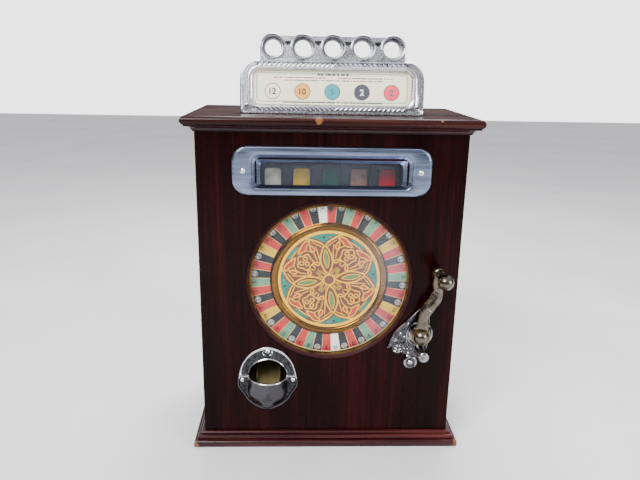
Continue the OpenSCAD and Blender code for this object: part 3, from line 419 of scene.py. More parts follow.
corner_x = span("base_moulding")[1][0]
base_front = span("base_moulding")[0][1]
cap_low, cap_high = span("top_cap")
# The case's ring round the wheel's opening is a painted highlight on the opening's bevel.
CASE = polished_wood("case_mahogany", 2, paint(14, 4, 5), paint(26, 7, 8), paint(46, 13, 13),
                     ring=(0, FACE, WHEEL_Z, 118, 125))
CAP = polished_wood("cap_mahogany", 0, paint(26, 11, 11), paint(46, 22, 20), paint(76, 42, 36),
                    worn=[(-20, cap_low[1], cap_high[2] - 3, 9.5), (150, cap_low[1], cap_high[2], 6)],
                    gloss=0.26, sheen=0.16)
MOULDING = polished_wood("moulding_mahogany", 0, paint(24, 8, 10), paint(44, 17, 19), paint(80, 36, 36),
                         worn=[(-corner_x, base_front, 3, 13), (corner_x, base_front, 4, 15),
                               (corner_x, base_front + 20, 2, 12)], gloss=0.26, sheen=0.5)
SOFTWOOD = polished_wood("inner_softwood", 0, paint(120, 84, 52), paint(158, 118, 78), paint(186, 146, 100),
                         gloss=0.5)
NICKEL = plated("bright_nickel", paint(214, 214, 216), paint(120, 116, 108), 0.13, 0.56)
DARK_NICKEL = plated("darkened_nickel", paint(78, 76, 80), paint(50, 48, 50), 0.17, 0.54, 30)
WORN_NICKEL = plated("hand_worn_nickel", paint(104, 97, 87), paint(56, 46, 34), 0.2, 0.5, 90)
# The aluminium's blue tint is a painted reflection of bluish window light.
BEZEL = brushed("bezel_aluminium", paint(133, 144, 170), 0.24, 0)
STEEL = brushed("mechanism_steel", paint(150, 152, 156), 0.34, 0)
BRASS = plated("lacquered_brass", paint(202, 158, 84), paint(118, 82, 40), 0.24, 0.5)
BRONZED = plated("bronzed_brass", paint(116, 80, 18), paint(78, 52, 10), 0.13, 0.6, 24)
RIM_BRASS = plated("darkened_rim_brass", paint(104, 80, 42), paint(40, 28, 18), 0.3, 0.46, 40)
DULL_BRASS = enamel("dull_brass_sheet", paint(100, 90, 58), 0.7, 0.5)
GILT = enamel("gilt_line", paint(214, 176, 106), 0.7, 0.3)
TIN = enamel("black_tin", paint(40, 42, 46), 0.6, 0.42)
HEAD_NICKEL = plated("head_nickel", paint(206, 206, 214), paint(140, 140, 148), 0.22, 0.54, 60)
# Darker nickel for the rings' insides: painted shade in their deep recesses.
SHADED_RING_INSIDE = plated("ring_inside_painted_shade", paint(136, 136, 142), paint(88, 88, 92), 0.28, 0.5, 60)
HOLLOW = plated("hollow_nickel", paint(96, 96, 102), paint(58, 58, 62), 0.4, 0.5, 60)
STIPPLE = plated("cup_stipple", paint(70, 70, 72), paint(26, 26, 26), 0.34, 0.44, 240)
ESCUTCHEON = plated("scroll_nickel", paint(150, 150, 152), paint(44, 42, 42), 0.14, 0.48, 120)
BRASSY = plated("brassy_collar", paint(134, 114, 80), paint(84, 66, 42), 0.22, 0.5, 60)

# ---- The CAD nodes that keep their own shape ----
FINISHES = {
    CASE: ("front_panel", "side_panel_left", "side_panel_right", "back_door"),
    CAP: ("top_cap",),
    MOULDING: ("base_moulding", "crown_moulding"),
    SOFTWOOD: ("base_board", "back_rail", "window_bead", "cash_box"),
    NICKEL: ("front_screws",),
    STEEL: ("hinge_pins", "lock_keeper", "lock_cam", "glass_clips", "mech_plate_front", "mech_plate_rear",
            "mech_posts", "return_spring", "wheel_axle", "wheel_hub", "stop_star", "clutch_pawl",
            "stop_pawl", "handle_shaft", "payout_slide", "coin_ramp", "sign_cover", "rosette_screws"),
    BRASS: ("hinge_fixed_leaves", "hinge_door_leaves", "lock_barrel", "axle_bushes", "drive_gear",
            "handle_bush", "gear_sector", "payout_pinion", "coin_tube"),
    RIM_BRASS: ("glass_ring",),
    DULL_BRASS: ("payout_chute",),
    TIN: ("coin_chutes", "wheel_pointer", "wheel_disc"),
}


def coat(node, finish):
    """Give a CAD node that keeps its own shape its finish."""
    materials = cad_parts[node].data.materials
    materials.clear()
    materials.append(finish)


for finish, names in FINISHES.items():
    for name in names:
        coat(name, finish)

# ---- Wheel ----
ENAMELS = {
    "K": enamel("segment_black", paint(12, 15, 22)),
    "R": enamel("segment_red", paint(190, 42, 34)),
    "G": enamel("segment_green", paint(98, 146, 110)),
    "Y": enamel("segment_yellow", paint(214, 168, 16)),
    "W": enamel("segment_white", paint(236, 236, 226), 0.85),
}
COLOUR_ORDER = "RKGRKGRKYRKRGKRKYRKRGKRKW" * 2
PRIZES = {"K": "2", "R": "2", "G": "5", "Y": "10", "W": "12"}
STEP = 360 / SEGMENTS
FIRST = 0.9  # the first segment's middle, in degrees clockwise from the top
PALE = enamel("number_ground", paint(196, 188, 178), 0.86)
INK = enamel("number_ink", paint(34, 26, 30), 0.6)
WHEEL_AT = (0, WHEEL_Z)
NUMERALS = {}


def sector(inner, outer, start, stop, y_back, y_front, steps=5):
    """Slab between two radii and two angles: its section (r, y) is a rectangle, and each
    ring is that section at one angle, (r sin a, y, r cos a) from the wheel's middle."""
    a = np.radians(np.linspace(start, stop, steps))[:, None]
    r = np.array([inner, inner, outer, outer])[None, :]
    y = np.broadcast_to([y_back, y_front, y_front, y_back], (steps, 4))
    return loft(np.stack([r * np.sin(a), y, WHEEL_Z + r * np.cos(a)], axis=-1))


def number_at(text, height, centre, degrees, y):
    """A number lying on the plane y, turned so that its top points that way."""
    if (text, height) not in NUMERALS:
        NUMERALS[text, height] = numeral(text, height)
    flat, depth, faces = NUMERALS[text, height]
    points = front(turned(flat, degrees, centre), 0.0)
    points[:, 1] = y + depth - NUMERAL_DEPTH
    return points, faces


def colour_wheel():
    """Fifty enamelled segments between gilt lines, each with its number near the rim."""
    shapes, numbers = [], []
    order = list(ENAMELS)
    for i, key in enumerate(COLOUR_ORDER):
        middle = FIRST + STEP * i
        shapes.append((sector(BEAD_R - 1.5, WHEEL_R - 1.2, middle - STEP / 2, middle + STEP / 2,
                              SEGMENT_Y + 0.5, SEGMENT_Y), order.index(key)))
        line = polar(np.array([BEAD_R - 1, WHEEL_R - 1]), np.full(2, middle + STEP / 2)) + WHEEL_AT
        shapes.append((ribbon(line, 0.5, 0.4, SEGMENT_Y, sides=6), 5))
        at = polar(WHEEL_R - 7.4, middle) + WHEEL_AT
        if key == "K":
            numbers.append((plate(arc(at, 4.9, 0, 345, 24), SEGMENT_Y, SEGMENT_Y - 0.25, 0.2), 0))
            numbers.append((ribbon(arc(at, 4.0, 0, 345, 24), 0.28, 0.2, SEGMENT_Y - 0.25, True, sides=4), 1))
        height = 6.2 if len(PRIZES[key]) == 1 else 5.0
        numbers.append((number_at(PRIZES[key], height, at, middle, SEGMENT_Y - 0.3), 1))
    rim = [(WHEEL_R - 1.8, SEGMENT_Y + 0.5), (WHEEL_R - 1.8, SEGMENT_Y - 0.3),
           (WHEEL_R - 1.2, SEGMENT_Y - 0.7), (WHEEL_R - 0.2, SEGMENT_Y - 0.3),
           (WHEEL_R - 0.1, SEGMENT_Y + 0.5)]
    shapes.append((revolve(rim, WHEEL_AT, 150), 5))
    piece("colour_segments", "wheel", shapes, [*ENAMELS.values(), GILT], ["segment_ring"])
    piece("segment_numbers", "wheel", numbers, [PALE, INK])


def bead():
    """The brass bead: a half round between two small steps, turned about the axle."""
    middle = BEAD_R - 6.6
    a = np.radians(np.linspace(0, 180, 15))
    back, top = SEGMENT_Y + 0.3, bead_low[1]
    half_round = np.stack([middle + 4.9 * np.cos(a), back - 1.2 - (back - 1.2 - top) * np.sin(a)], axis=1)
    steps_out = [(BEAD_R - 0.2, back), (BEAD_R - 0.2, back - 1.2), (BEAD_R - 0.9, back - 1.7)]
    steps_in = [(middle - 5.8, back - 1.7), (middle - 6.2, back - 1.0), (middle - 6.2, back)]
    profile = np.concatenate([steps_out, half_round, steps_in])
    piece("brass_wheel_bead", "wheel", [(revolve(profile, WHEEL_AT, 160), 0)], [BRONZED],
          ["brass_bead"], 50)


ROSE = enamel("rosette_rose", paint(104, 54, 38))
ROSE_BRIGHT = enamel("rosette_red", paint(172, 50, 34))
TEAL = enamel("rosette_teal", paint(10, 118, 100))
LEAF = enamel("rosette_leaf", paint(92, 120, 60))
FILIGREE = enamel("filigree_yellow", paint(230, 174, 12), 0.9, 0.3)
ROSETTE_TURN = -8
LINE_SWELL = 1.25


def rosette():
    """A round fret of yellow lines over enamel: four petals, a floral cluster on each
    diagonal, corner pieces at the rim, rays and a boss in the middle."""
    lines, patches = [], []
    y = ROSETTE_Y
    lift = y - FRET_Y

    def line(path, turn, width, closed=False, pointed=False):
        lines.append(ribbon(turned(path, turn, WHEEL_AT), width * LINE_SWELL, lift, y, closed, pointed,
                            sides=6))

    def patch(path, turn, number):
        patches.append((plate(turned(path, turn, WHEEL_AT), y, y - 0.35, 0.2), number))

    def both(path):
        return [np.asarray(path, float), np.asarray(path, float) * (-1, 1)]

    def leaf(low, high, half, count=15):
        t = np.linspace(0, 1, count)
        return np.stack([half * np.sin(np.pi * t) ** 0.8, low + (high - low) * t], axis=1)

    def drop(centre, size, angle):
        t = np.linspace(0, 2 * np.pi, 21)[:-1]
        shape = np.stack([0.62 * np.sin(t) * np.sin(t / 2) ** 1.2, np.cos(t)], axis=1)
        return turned(shape * size, angle, centre)

    t = np.linspace(0, 2 * np.pi, 25)[:-1]
    for quarter in range(4):
        axis = ROSETTE_TURN + 90 * quarter
        diagonal = axis + 45
        for edge in both(leaf(9, 55.5, 9.0, 21)):
            line(edge, axis, 0.95)
        green = np.concatenate([leaf(19, 49, 4.1), leaf(19, 49, 4.1)[::-1][1:-1] * (-1, 1)])
        patch(green, axis, 3)
        line(green, axis, 0.6, True)
        corner = np.concatenate([[(0, 59.5), (-5.5, 64), (-12, 67.6)],
                                 polar(np.full(9, 73.6), np.linspace(-18, 18, 9)), [(12, 67.6), (5.5, 64)]])
        patch(corner, axis, 2)
        patches.append((plate(turned(arc((0, 68.6), 2.2, 0, 340, 12), axis, WHEEL_AT), y, y - 1.0, 0.7), 4))
        for edge in both([(0, 54), (4, 58.5), (10, 62.5), (18, 66), (26, 68.6), (33, 68)]):
            line(smooth(edge), axis, 1.1, False, True)
        for edge in both([(2, 52), (8, 56), (14, 59.6), (19, 62)]):
            line(smooth(edge), axis, 0.6, False, True)
        rim_leaf = polar(71.2 + 2.5 * np.sin(t), 10.0 * np.cos(t))
        patch(rim_leaf, diagonal, 2)
        line(polar(np.full(11, 67.6), np.linspace(-11, 11, 11)), diagonal, 0.7, False, True)
        hedge = 11.6 + 1.5 * np.cos(5 * t)
        line(np.stack([hedge * np.sin(t), 46.5 + hedge * np.cos(t)], axis=1), diagonal, 0.8, True)
        for centre in ((0, 42.6), (-4.5, 49.6), (4.5, 49.6)):
            line(arc(centre, 3.0, 0, 340, 16), diagonal, 0.75, True)
        for flip in (-1, 1):
            mirror = (flip, 1)
            for centre, size, angle in (((23.8, 52.0), 6.0, 20), ((8.8, 31.6), 5.0, -30)):
                shape = drop(centre, size, angle) * mirror
                patch(shape, diagonal, 1)
                line(shape, diagonal, 0.85, True)
            lobe = smooth([(29.5, 61), (27, 65.6), (20.5, 66.8), (12.5, 65.2), (4, 62.6), (9.5, 59.4),
                           (16, 57.6), (20, 59.8), (25, 60.5)], 4, True) * mirror
            patch(lobe, diagonal, 1)
            line(lobe, diagonal, 0.8, True)
            for path in ([(14.5, 56.5), (18.6, 50), (18.4, 43), (15.6, 37), (13.5, 33)],
                         [(29.5, 49.5), (25.4, 43), (20.6, 36.5), (15.0, 29), (9.4, 21.5)],
                         [(3.6, 36.4), (3.0, 31), (0.8, 27.4)]):
                line(smooth(path) * mirror, diagonal, 0.7, False, True)
            for angle, far in ((10, 22), (19, 19)):
                line(polar(np.linspace(8, far, 4), np.full(4, angle)) * mirror, diagonal, 0.5, False, True)
        wedge = np.array([(0, 15.5), (-2.8, 23), (2.8, 23)])
        patch(wedge, diagonal, 3)
        line(wedge, diagonal, 0.5, True)
    lines.append(revolve([(7.0, y), (7.2, y - lift), (9.2, y - lift), (9.6, y)], WHEEL_AT, 48))
    band = [(74.2, y), (74.2, y - lift + 0.3), (74.8, y - lift), (ROSETTE_R - 0.5, y - lift),
            (ROSETTE_R - 0.1, y)]
    lines.append(revolve(band, WHEEL_AT, 128))
    patches.append((plate(arc(WHEEL_AT, 6.6, 0, 350, 36), y, y - 1.0, 0.6, 0.6), 0))
    patches.append((plate(arc(WHEEL_AT, ROSETTE_R - 0.2, 0, 358, 160), y + 1.2, y, 0.1), 0))
    piece("rosette_enamel", "wheel", patches, [ROSE, ROSE_BRIGHT, TEAL, LEAF, DARK_NICKEL],
          ["rosette_disc"])
    piece("rosette_filigree", "wheel", [(shape, 0) for shape in lines], [FILIGREE],
          ["rosette_fretwork"], 50)


# ---- Window ----
WINDOW_LOW, WINDOW_HIGH = span("window_frame")
PLATES_LOW, PLATES_HIGH = span("colour_plates")
FLAG_W = 25
PITCH = (PLATES_HIGH[0] - PLATES_LOW[0] - FLAG_W) / 4
FLAGS = [("flag_white", (216, 216, 196)), ("flag_yellow", (206, 168, 24)), ("flag_green", (16, 74, 60)),
         ("flag_taupe", (150, 108, 90)), ("flag_red", (212, 6, 20))]


def framed(outer, inner, profile):
    """A moulding between two outlines of as many points: each (share, y) of the profile is the
    outline that share of the way from the outer to the inner one, at that depth."""
    rings = [front(outer + (inner - outer) * share, y) for share, y in profile]
    return loft(np.stack(rings), ring_round=True)


def window_bezel():
    """A round-cornered plate with bevelled edges, and a funnel back to the glass."""
    half_w = WINDOW_HIGH[0]
    half_h = (WINDOW_HIGH[2] - WINDOW_LOW[2]) / 2
    middle = (0, WINDOW_LOW[2] + half_h)
    y = WINDOW_LOW[1]
    outer = rounded(half_w, half_h, 22, middle)
    lip = rounded(half_w - 28, half_h - 11.5, 11, (0, middle[1] - 1))
    view = rounded(half_w - 39.5, 16.2, 6, (0, middle[1] - 5.7))
    face = [(0, FACE), (0, y + 2.4), (0.05, y + 0.9), (0.12, y), (0.16, y + 0.15), (0.19, y), (0.82, y),
            (0.9, y + 0.2), (0.97, y + 0.9), (1.0, y + 2.2), (1.0, FACE)]
    slopes = np.linspace(0, 1, 5)
    funnel = [front(lip + (view - lip) * s, y + 2.0 + (FACE + 8 - y - 2) * s) for s in slopes]
    wall = [front(lip + (view - lip) * s, y + 2.4 + (FACE + 8 - y - 2) * s) for s in slopes[::-1]]
    wall = [ring + (ring - ring.mean(axis=0)) * (0.012, 0, 0.05) for ring in wall]
    piece("window_bezel", "cabinet",
          [(framed(outer, lip, face), 0), (loft(np.stack(funnel + wall), ring_round=True), 0)],
          [BEZEL], ["window_frame"], 25)


def colour_flags():
    """Five painted plates behind the window, round at the upper corners."""
    shapes = []
    half_h = (PLATES_HIGH[2] - PLATES_LOW[2]) / 2
    for i in range(5):
        centre = ((i - 2) * PITCH, PLATES_LOW[2] + half_h)
        outline = rounded(FLAG_W / 2, half_h, 4, centre, low_corner=1)
        shapes.append((plate(outline, PLATES_HIGH[1], PLATES_LOW[1], 0.5, 0.3), i))
    paints = [enamel(name, paint(*colour), 0.7) for name, colour in FLAGS]
    piece("colour_flags", "cabinet", shapes, paints, ["colour_plates"])


colour_wheel()
bead()
rosette()
window_bezel()
colour_flags()
# The wheel's pane is veiled most on the right: dust, and in part a painted reflection of the bright room.
GLASS = dust_and_glare_glass("wheel_pane", 0.08,
                    [(96, FACE + 10, WHEEL_Z + 34, 80), (84, FACE + 10, WHEEL_Z - 76, 44)])
PANE = dust_and_glare_glass("window_pane", 0.02, [(0, FACE + 10, 440, 140)])
SIGN_PANE = dust_and_glare_glass("sign_pane", 0.04, [(0, 0, 560, 160)])
for node, pane in (("wheel_glass", GLASS), ("window_glass", PANE), ("sign_glass", SIGN_PANE)):
    coat(node, pane)

# ---- Coin head: drawn upright with v up and the depth along y, then leaned back ----
SIGN_LOW, SIGN_HIGH = span("coin_head_sign")
LEAN = math.radians(10)
SIGN_W = SIGN_HIGH[0]
SIGN_V = 77
RING_R = span("coin_ring_bar")[1][0] - 2 * PITCH
RING_V = SIGN_V + 19.5
CARD_D = 6.95


def leaned(shape):
    """A shape drawn upright, turned back about the head's front foot: depth d and height v go
    to y = foot + v sin a + d cos a and z = cap + v cos a - d sin a."""
    points, faces = shape
    depth, v = points[:, 1], points[:, 2]
    y = SIGN_LOW[1] + v * math.sin(LEAN) + depth * math.cos(LEAN)
    z = cap_high[2] + v * math.cos(LEAN) - depth * math.sin(LEAN)
    return np.stack([points[:, 0], y, z], axis=-1), faces


def leaf_shape(length, width, degrees, centre):
    """A leaf seen from the front: half-width sin t |sin t|^0.5 along a length of cos t."""
    t = np.linspace(0, 2 * np.pi, 13)[:-1]
    flat = np.stack([width / 2 * np.sin(t) * np.abs(np.sin(t)) ** 0.5, length / 2 * np.cos(t)], axis=1)
    return turned(flat, degrees, centre)


def head_frame():
    """The sign's casting: a moulded frame round the card's opening, leaf borders above and
    below, dashes on both outer edges and a fold at each lower corner."""
    outer = rounded(SIGN_W, SIGN_V / 2, 26, (0, SIGN_V / 2), low_corner=5)
    inner = rounded(115.5, 24, 11, (0, 39))
    front_side = [(0, 24), (0, 2.4), (0.02, 1.2), (0.07, 0.4), (0.13, 0.3), (0.17, 0.9), (0.21, 0.9),
                  (0.25, 0.2), (0.56, 0.2), (0.61, -0.5), (0.7, -0.9), (0.78, -0.5), (0.83, 0.9), (0.9, 1.3),
                  (0.97, 2.6), (1.0, 4.2), (1.0, 5.9)]
    back_side = [(0.5, 5.95), (0.05, 5.95), (0.05, 24)]
    shapes, grounds = [framed(outer, inner, front_side + back_side)], []
    for v, tilt in ((8.6, 1), (69.8, -1)):
        grounds.append(plate(rounded(110, 4.0, 1.5, (0, v)), 2.0, 0.05, 0.1))
        for u in np.arange(-105, 106, 7.0):
            side = 1 if u > 0 else -1
            shapes.append(plate(leaf_shape(10.2, 4.3, side * tilt * 52, (u, v)), 0.6, -0.3, 0.4, 0.75))
    for side in (-1, 1):
        for v in np.arange(9, 52, 3.6):
            dash = rounded(0.9, 1.15, 0.5, (side * (SIGN_W - 1.5), v), 3)
            grounds.append(plate(dash, 2.2, 0.0, 0.3))
        fold = smooth(np.array([(126, 27), (121.5, 18.5), (113, 12.8)]) * (side, 1))
        shapes.append(ribbon(fold, 0.8, 0.7, 0.4, pointed=True))
    shapes.append(ribbon([(-106, 75.6), (106, 75.6)], 0.7, 0.7, 0.6))
    piece("head_casting", "cabinet",
          [(leaned(shape), 0) for shape in shapes] + [(leaned(shape), 1) for shape in grounds],
          [HEAD_NICKEL, HOLLOW], ["coin_head_sign"])


def coin_rings():
    """Five deep rings in a row, joined by a web with a notch between each pair. Their insides take a darker
    nickel as painted shade.
    """
    deep = 16
    profile = [(RING_R, deep), (RING_R, 0.4), (RING_R - 0.3, -0.5), (RING_R - 0.9, -1.0),
               (RING_R - 1.5, -0.7), (RING_R - 1.9, 0.4), (RING_R - 2.0, 5.0), (RING_R - 3.0, 5.6),
               (RING_R - 3.1, 11.8), (RING_R - 5.2, 12.1), (RING_R - 6.3, 12.6), (RING_R - 6.5, 13.2),
               (RING_R - 6.5, deep)]
    rings, shapes = [], []
    for i in range(-2, 3):
        points, faces = revolve(profile, (i * PITCH, RING_V), 72)
        middles = np.array([points[face].mean(axis=0) for face in faces])
        # Faces deep inside each ring take the darker nickel: painted shade in the ring's recess.
        inside = np.hypot(middles[:, 0] - i * PITCH, middles[:, 2] - RING_V) < RING_R - 1.7
        rings.append((leaned((points, faces)), np.where(inside & (middles[:, 1] > 0.6), 1, 0)))
    edge = RING_R - 1
    end = 2 * PITCH + RING_R
    low = SIGN_V + 0.3
    for i in range(-2, 2):
        left, right = i * PITCH, (i + 1) * PITCH
        notch = [(left + PITCH / 2, RING_V + 1.5)]
        web = np.concatenate([[(left, low), (right, low)], arc((right, RING_V), edge, 180, 300, 20), notch,
                              arc((left, RING_V), edge, 60, 180, 20)])
        rail = np.concatenate([arc((left, RING_V), edge, 12, 100, 14),
                               arc((right, RING_V), edge, 260, 348, 14)])
        shapes += [plate(web, 14, 2.0, 0.6), plate(rail, deep, 12, 0.6)]
    for side in (-1, 1):
        foot = arc((side * 2 * PITCH, RING_V), edge, 180, 180 - side * 90, 14)
        corner = [(side * end, RING_V), (side * end, low), (side * 2 * PITCH, low)]
        shapes.append(plate(np.concatenate([foot, corner]), 14, 2.0, 0.6))
    piece("coin_rings", "cabinet", rings + [(leaned(shape), 0) for shape in shapes],
          [HEAD_NICKEL, SHADED_RING_INSIDE],
          ["coin_ring_bar"])


def printed_card():
    """A cream card: two green lines round it, five prize discs with numbers, and rows of
    small dashes in place of words."""
    shapes = [(plate(rounded(118, 26.5, 3, (0, 39)), 7.4, CARD_D, 0.1), 0)]
    for grow, number, half in ((0, 1, 0.55), (-1.9, 1, 0.2)):
        border = rounded(110.5 + grow, 20.6 + grow, 6, (0, 39.2))
        shapes.append((ribbon(border, half, 0.1, CARD_D, True, sides=4), number))
    parted_row, parting = 53.4, 7
    for v, size, half in ((58.2, 1.5, 22), (parted_row, 0.85, 86), (49.6, 0.85, 70), (18.2, 1.1, 72)):
        u = -half
        while u < half:
            length = rng.uniform(1.2, 3.4) * (1.5 if size > 1 else 1)
            if not (v == parted_row and abs(u) < parting):
                dash = rounded(length / 2, size, 0.2, (u + length / 2, v), 2)
                shapes.append((plate(dash, CARD_D, CARD_D - 0.08, 0.05), 2))
            u += length + rng.choice([0.6, 0.6, 0.6, 2.2])
    discs = [("12", 0, 2), ("10", 3, 2), ("5", 4, 6), ("2", 5, 7), ("2", 8, 6)]
    for i, (text, ground, ink) in enumerate(discs):
        centre = ((i - 2) * PITCH, 33.6)
        shapes.append((plate(arc(centre, 11.4, 0, 352, 44), CARD_D, CARD_D - 0.1, 0.05), ground))
        shapes.append((ribbon(arc(centre, 11.2, 0, 352, 44), 0.5, 0.06, CARD_D - 0.1, True, sides=4), 2))
        shapes.append((number_at(text, 9.0, centre, 0, CARD_D - 0.06), ink))
    colours = [("card_cream", (252, 243, 204)), ("print_green", (96, 160, 120)), ("print_ink", (44, 40, 42)),
               ("disc_yellow", (240, 166, 50)), ("disc_teal", (30, 150, 158)), ("disc_grey", (52, 48, 56)),
               ("print_shade", (56, 100, 104)), ("print_white", (238, 238, 240)),
               ("disc_red", (236, 66, 84))]
    piece("prize_card", "cabinet", [(leaned(shape), number) for shape, number in shapes],
          [enamel(name, paint(*colour), 0.94, 0.5) for name, colour in colours], ["sign_card"])


# ---- Payout cup ----
CUP_LOW, CUP_HIGH = span("payout_cup")
CUP_X = (CUP_LOW[0] + CUP_HIGH[0]) / 2
CUP_Z = CUP_HIGH[2] - 51
CUP_R = 31
CUP_OUTLINE = [(0, 50.5), (5, 49.6), (13, 47.2), (21.7, 43), (28.5, 37.6), (34.7, 30.6), (39.6, 22.5),
               (42.7, 13.6), (44.6, 6), (45.4, 0.5), (47.2, -5), (47.9, -11), (46.6, -18.5), (42.5, -24.5),
               (38, -31), (32.6, -41), (22, -50.6), (9.5, -57), (0, -58.4)]


def cup_surround():
    """The cup's plate: a bright rim whose lower half is darker nickel as painted shade, a dark stippled band
    and a bright lip round the mouth.
    Each ring is a share of the way from the outline to the mouth, point by point."""
    half = smooth(CUP_OUTLINE, 5)
    outer = np.concatenate([half, (half * (-1, 1))[::-1][1:-1]])
    angle = np.arctan2(outer[:, 0], outer[:, 1])
    mouth = np.stack([30 * np.sin(angle), np.where(outer[:, 1] > 0, 28.5, 24) * np.cos(angle)], axis=1)
    at = np.array([CUP_X, CUP_Z])
    outer, mouth = outer + at, mouth + at
    y = FACE
    rim = [(0, y), (0, y - 2.6), (0.05, y - 3.8), (0.13, y - 4.0), (0.2, y - 2.9), (0.22, y)]
    band = [(0.18, y), (0.18, y - 2.8), (0.94, y - 2.8), (0.94, y)]
    lip = [(0.9, y), (0.9, y - 3.0), (0.94, y - 3.7), (1.0, y - 3.2), (1.0, y)]
    edging = framed(outer, mouth, rim)
    # The rim's faces below the cup's middle take the darker nickel: painted shade, as light falls from
    # above.
    upper = np.array([edging[0][face, 2].mean() > CUP_Z - 3 for face in edging[1]])
    shapes = [(edging, np.where(upper, 0, 2)), (framed(outer, mouth, band), 1),
              (framed(outer, mouth, lip), 0)]
    for k in range(260):
        a = rng.uniform(-1.75, 1.75)
        near = np.argmin(np.abs(angle - a))
        share = rng.uniform(0.27, 0.86)
        spot = outer[near] + (mouth[near] - outer[near]) * share + rng.uniform(-0.6, 0.6, 2)
        dot = arc(spot, rng.uniform(0.45, 0.95), 0, 300, 6)
        shapes.append((plate(dot, y - 2.6, y - 2.9, 0.15, 0.3), 1 + int(k % 3 == 0)))
    for side in (-1, 1):
        bar = np.array([(31.5, 1.5), (38, 1.0), (43.2, 1.5)]) * (side, 1) + at
        shapes.append((ribbon(bar, 1.9, 1.9, y - 2.7), 0))
        ear = arc(at + np.array((side * 39.5, -6)), 5.2, 0, 345, 24)
        shapes.append((ribbon(ear, 0.6, 0.7, y - 2.8, True), 2))
    for flip in (-1, 1):
        curl = smooth(np.array([(4.5, 44), (7.5, 41.5), (6, 38), (2.5, 36.5)]) * (flip, 1)) + at
        shapes.append((ribbon(curl, 0.9, 1.4, y - 2.8, pointed=True), 0))
    piece("cup_surround", "cabinet", shapes, [NICKEL, STIPPLE, DARK_NICKEL], ["payout_cup"])


def cup_bowl():
    """The bowl: a section (radius, height) swept half round the front, cylinder above and
    sphere below, with a rib down the middle, shallow flutes, two steps near the foot and a
    rolled rim."""
    sweep = np.radians(np.linspace(-90, 90, 73))
    waist, foot = -21, -52

    def swept(radius, height):
        """Angle a carries (radius, height) to (x + r sin a, y - r cos a, height)."""
        x = CUP_X + radius * np.sin(sweep)[:, None]
        y = FACE + 1 - radius * np.cos(sweep)[:, None]
        return loft(np.stack([x, y, np.broadcast_to(height, x.shape)], axis=-1))

    below = waist - CUP_R * np.sin(np.radians(np.linspace(6, 89, 22)))
    down = np.concatenate([np.linspace(0, waist, 8), below])
    sphere = np.sqrt(np.maximum(CUP_R**2 - np.minimum(down - waist, 0) ** 2, 0.3))
    step = 1.1 * (np.abs(down + 41) < 1.6) + 0.9 * (np.abs(down + 47) < 1.2)
    outside = np.stack([sphere + step, down], axis=1)
    inside = np.stack([np.maximum(sphere - 2.4, 0.4), np.maximum(down, foot + 2.6)], axis=1)[::-1]
    section = np.concatenate([outside, inside])
    rib = 1.5 * np.exp(-((np.degrees(sweep) / 3.6) ** 2))[:, None]
    facet = 1.3 * np.cos(5 * sweep)[:, None] * np.clip((-8 - section[:, 1]) / 12, 0, 1)
    outer_side = np.arange(len(section)) < len(outside)
    carved = outer_side & (section[:, 1] < -3) & (section[:, 0] > 9)
    bowl = swept(section[None, :, 0] + (rib + facet) * carved, CUP_Z + section[:, 1])
    t = np.linspace(0, 2 * np.pi, 12, endpoint=False)
    rim = swept(CUP_R - 0.9 + 1.7 * np.cos(t)[None, :], CUP_Z + 1.4 * np.sin(t))
    piece("cup_bowl", "cabinet", [(bowl, 0), (rim, 1)], [DARK_NICKEL, NICKEL], ["payout_cup"])


# ---- Handle ----
SHAFT_LOW, SHAFT_HIGH = span("handle_shaft")
AXLE = np.array([(SHAFT_LOW[0] + SHAFT_HIGH[0]) / 2, (SHAFT_LOW[2] + SHAFT_HIGH[2]) / 2])
BALL_LOW, BALL_HIGH = span("handle_ball")
BALL_R = (BALL_HIGH[0] - BALL_LOW[0]) / 2
BALL = np.array([(BALL_LOW[0] + BALL_HIGH[0]) / 2, BALL_HIGH[2] - BALL_R])
ARM_PATH = [(0.8, 0), (2.0, 14), (3.4, 28), (6.6, 38), (12.4, 49), (18.4, 58), (21.6, 67), (22.3, 76),
            (21.0, 85), (20.4, 92), (20.6, 99), (20.8, 103)]
ARM_HALF = [9.8, 9.4, 8.2, 8.4, 9.6, 9.0, 7.6, 7.6, 6.6, 6.3, 8.2, 8.8]
PLATE_OUTLINE = [(12, 34), (4, 41), (-8, 30), (-22, 15), (-36, 1), (-42, -10), (-45.5, -19), (-49, -27),
                 (-44.5, -28), (-41, -25.5), (-38, -32), (-31.5, -36), (-26.5, -33.5), (-23, -38),
                 (-18.5, -38.5), (-17, -42.5), (-21.4, -50.5), (-18.5, -59), (-10.7, -62.6), (-3, -59),
                 (0.4, -52), (-1, -45), (6, -41), (12, -36), (14.5, -22), (15.5, 0), (14.5, 20)]


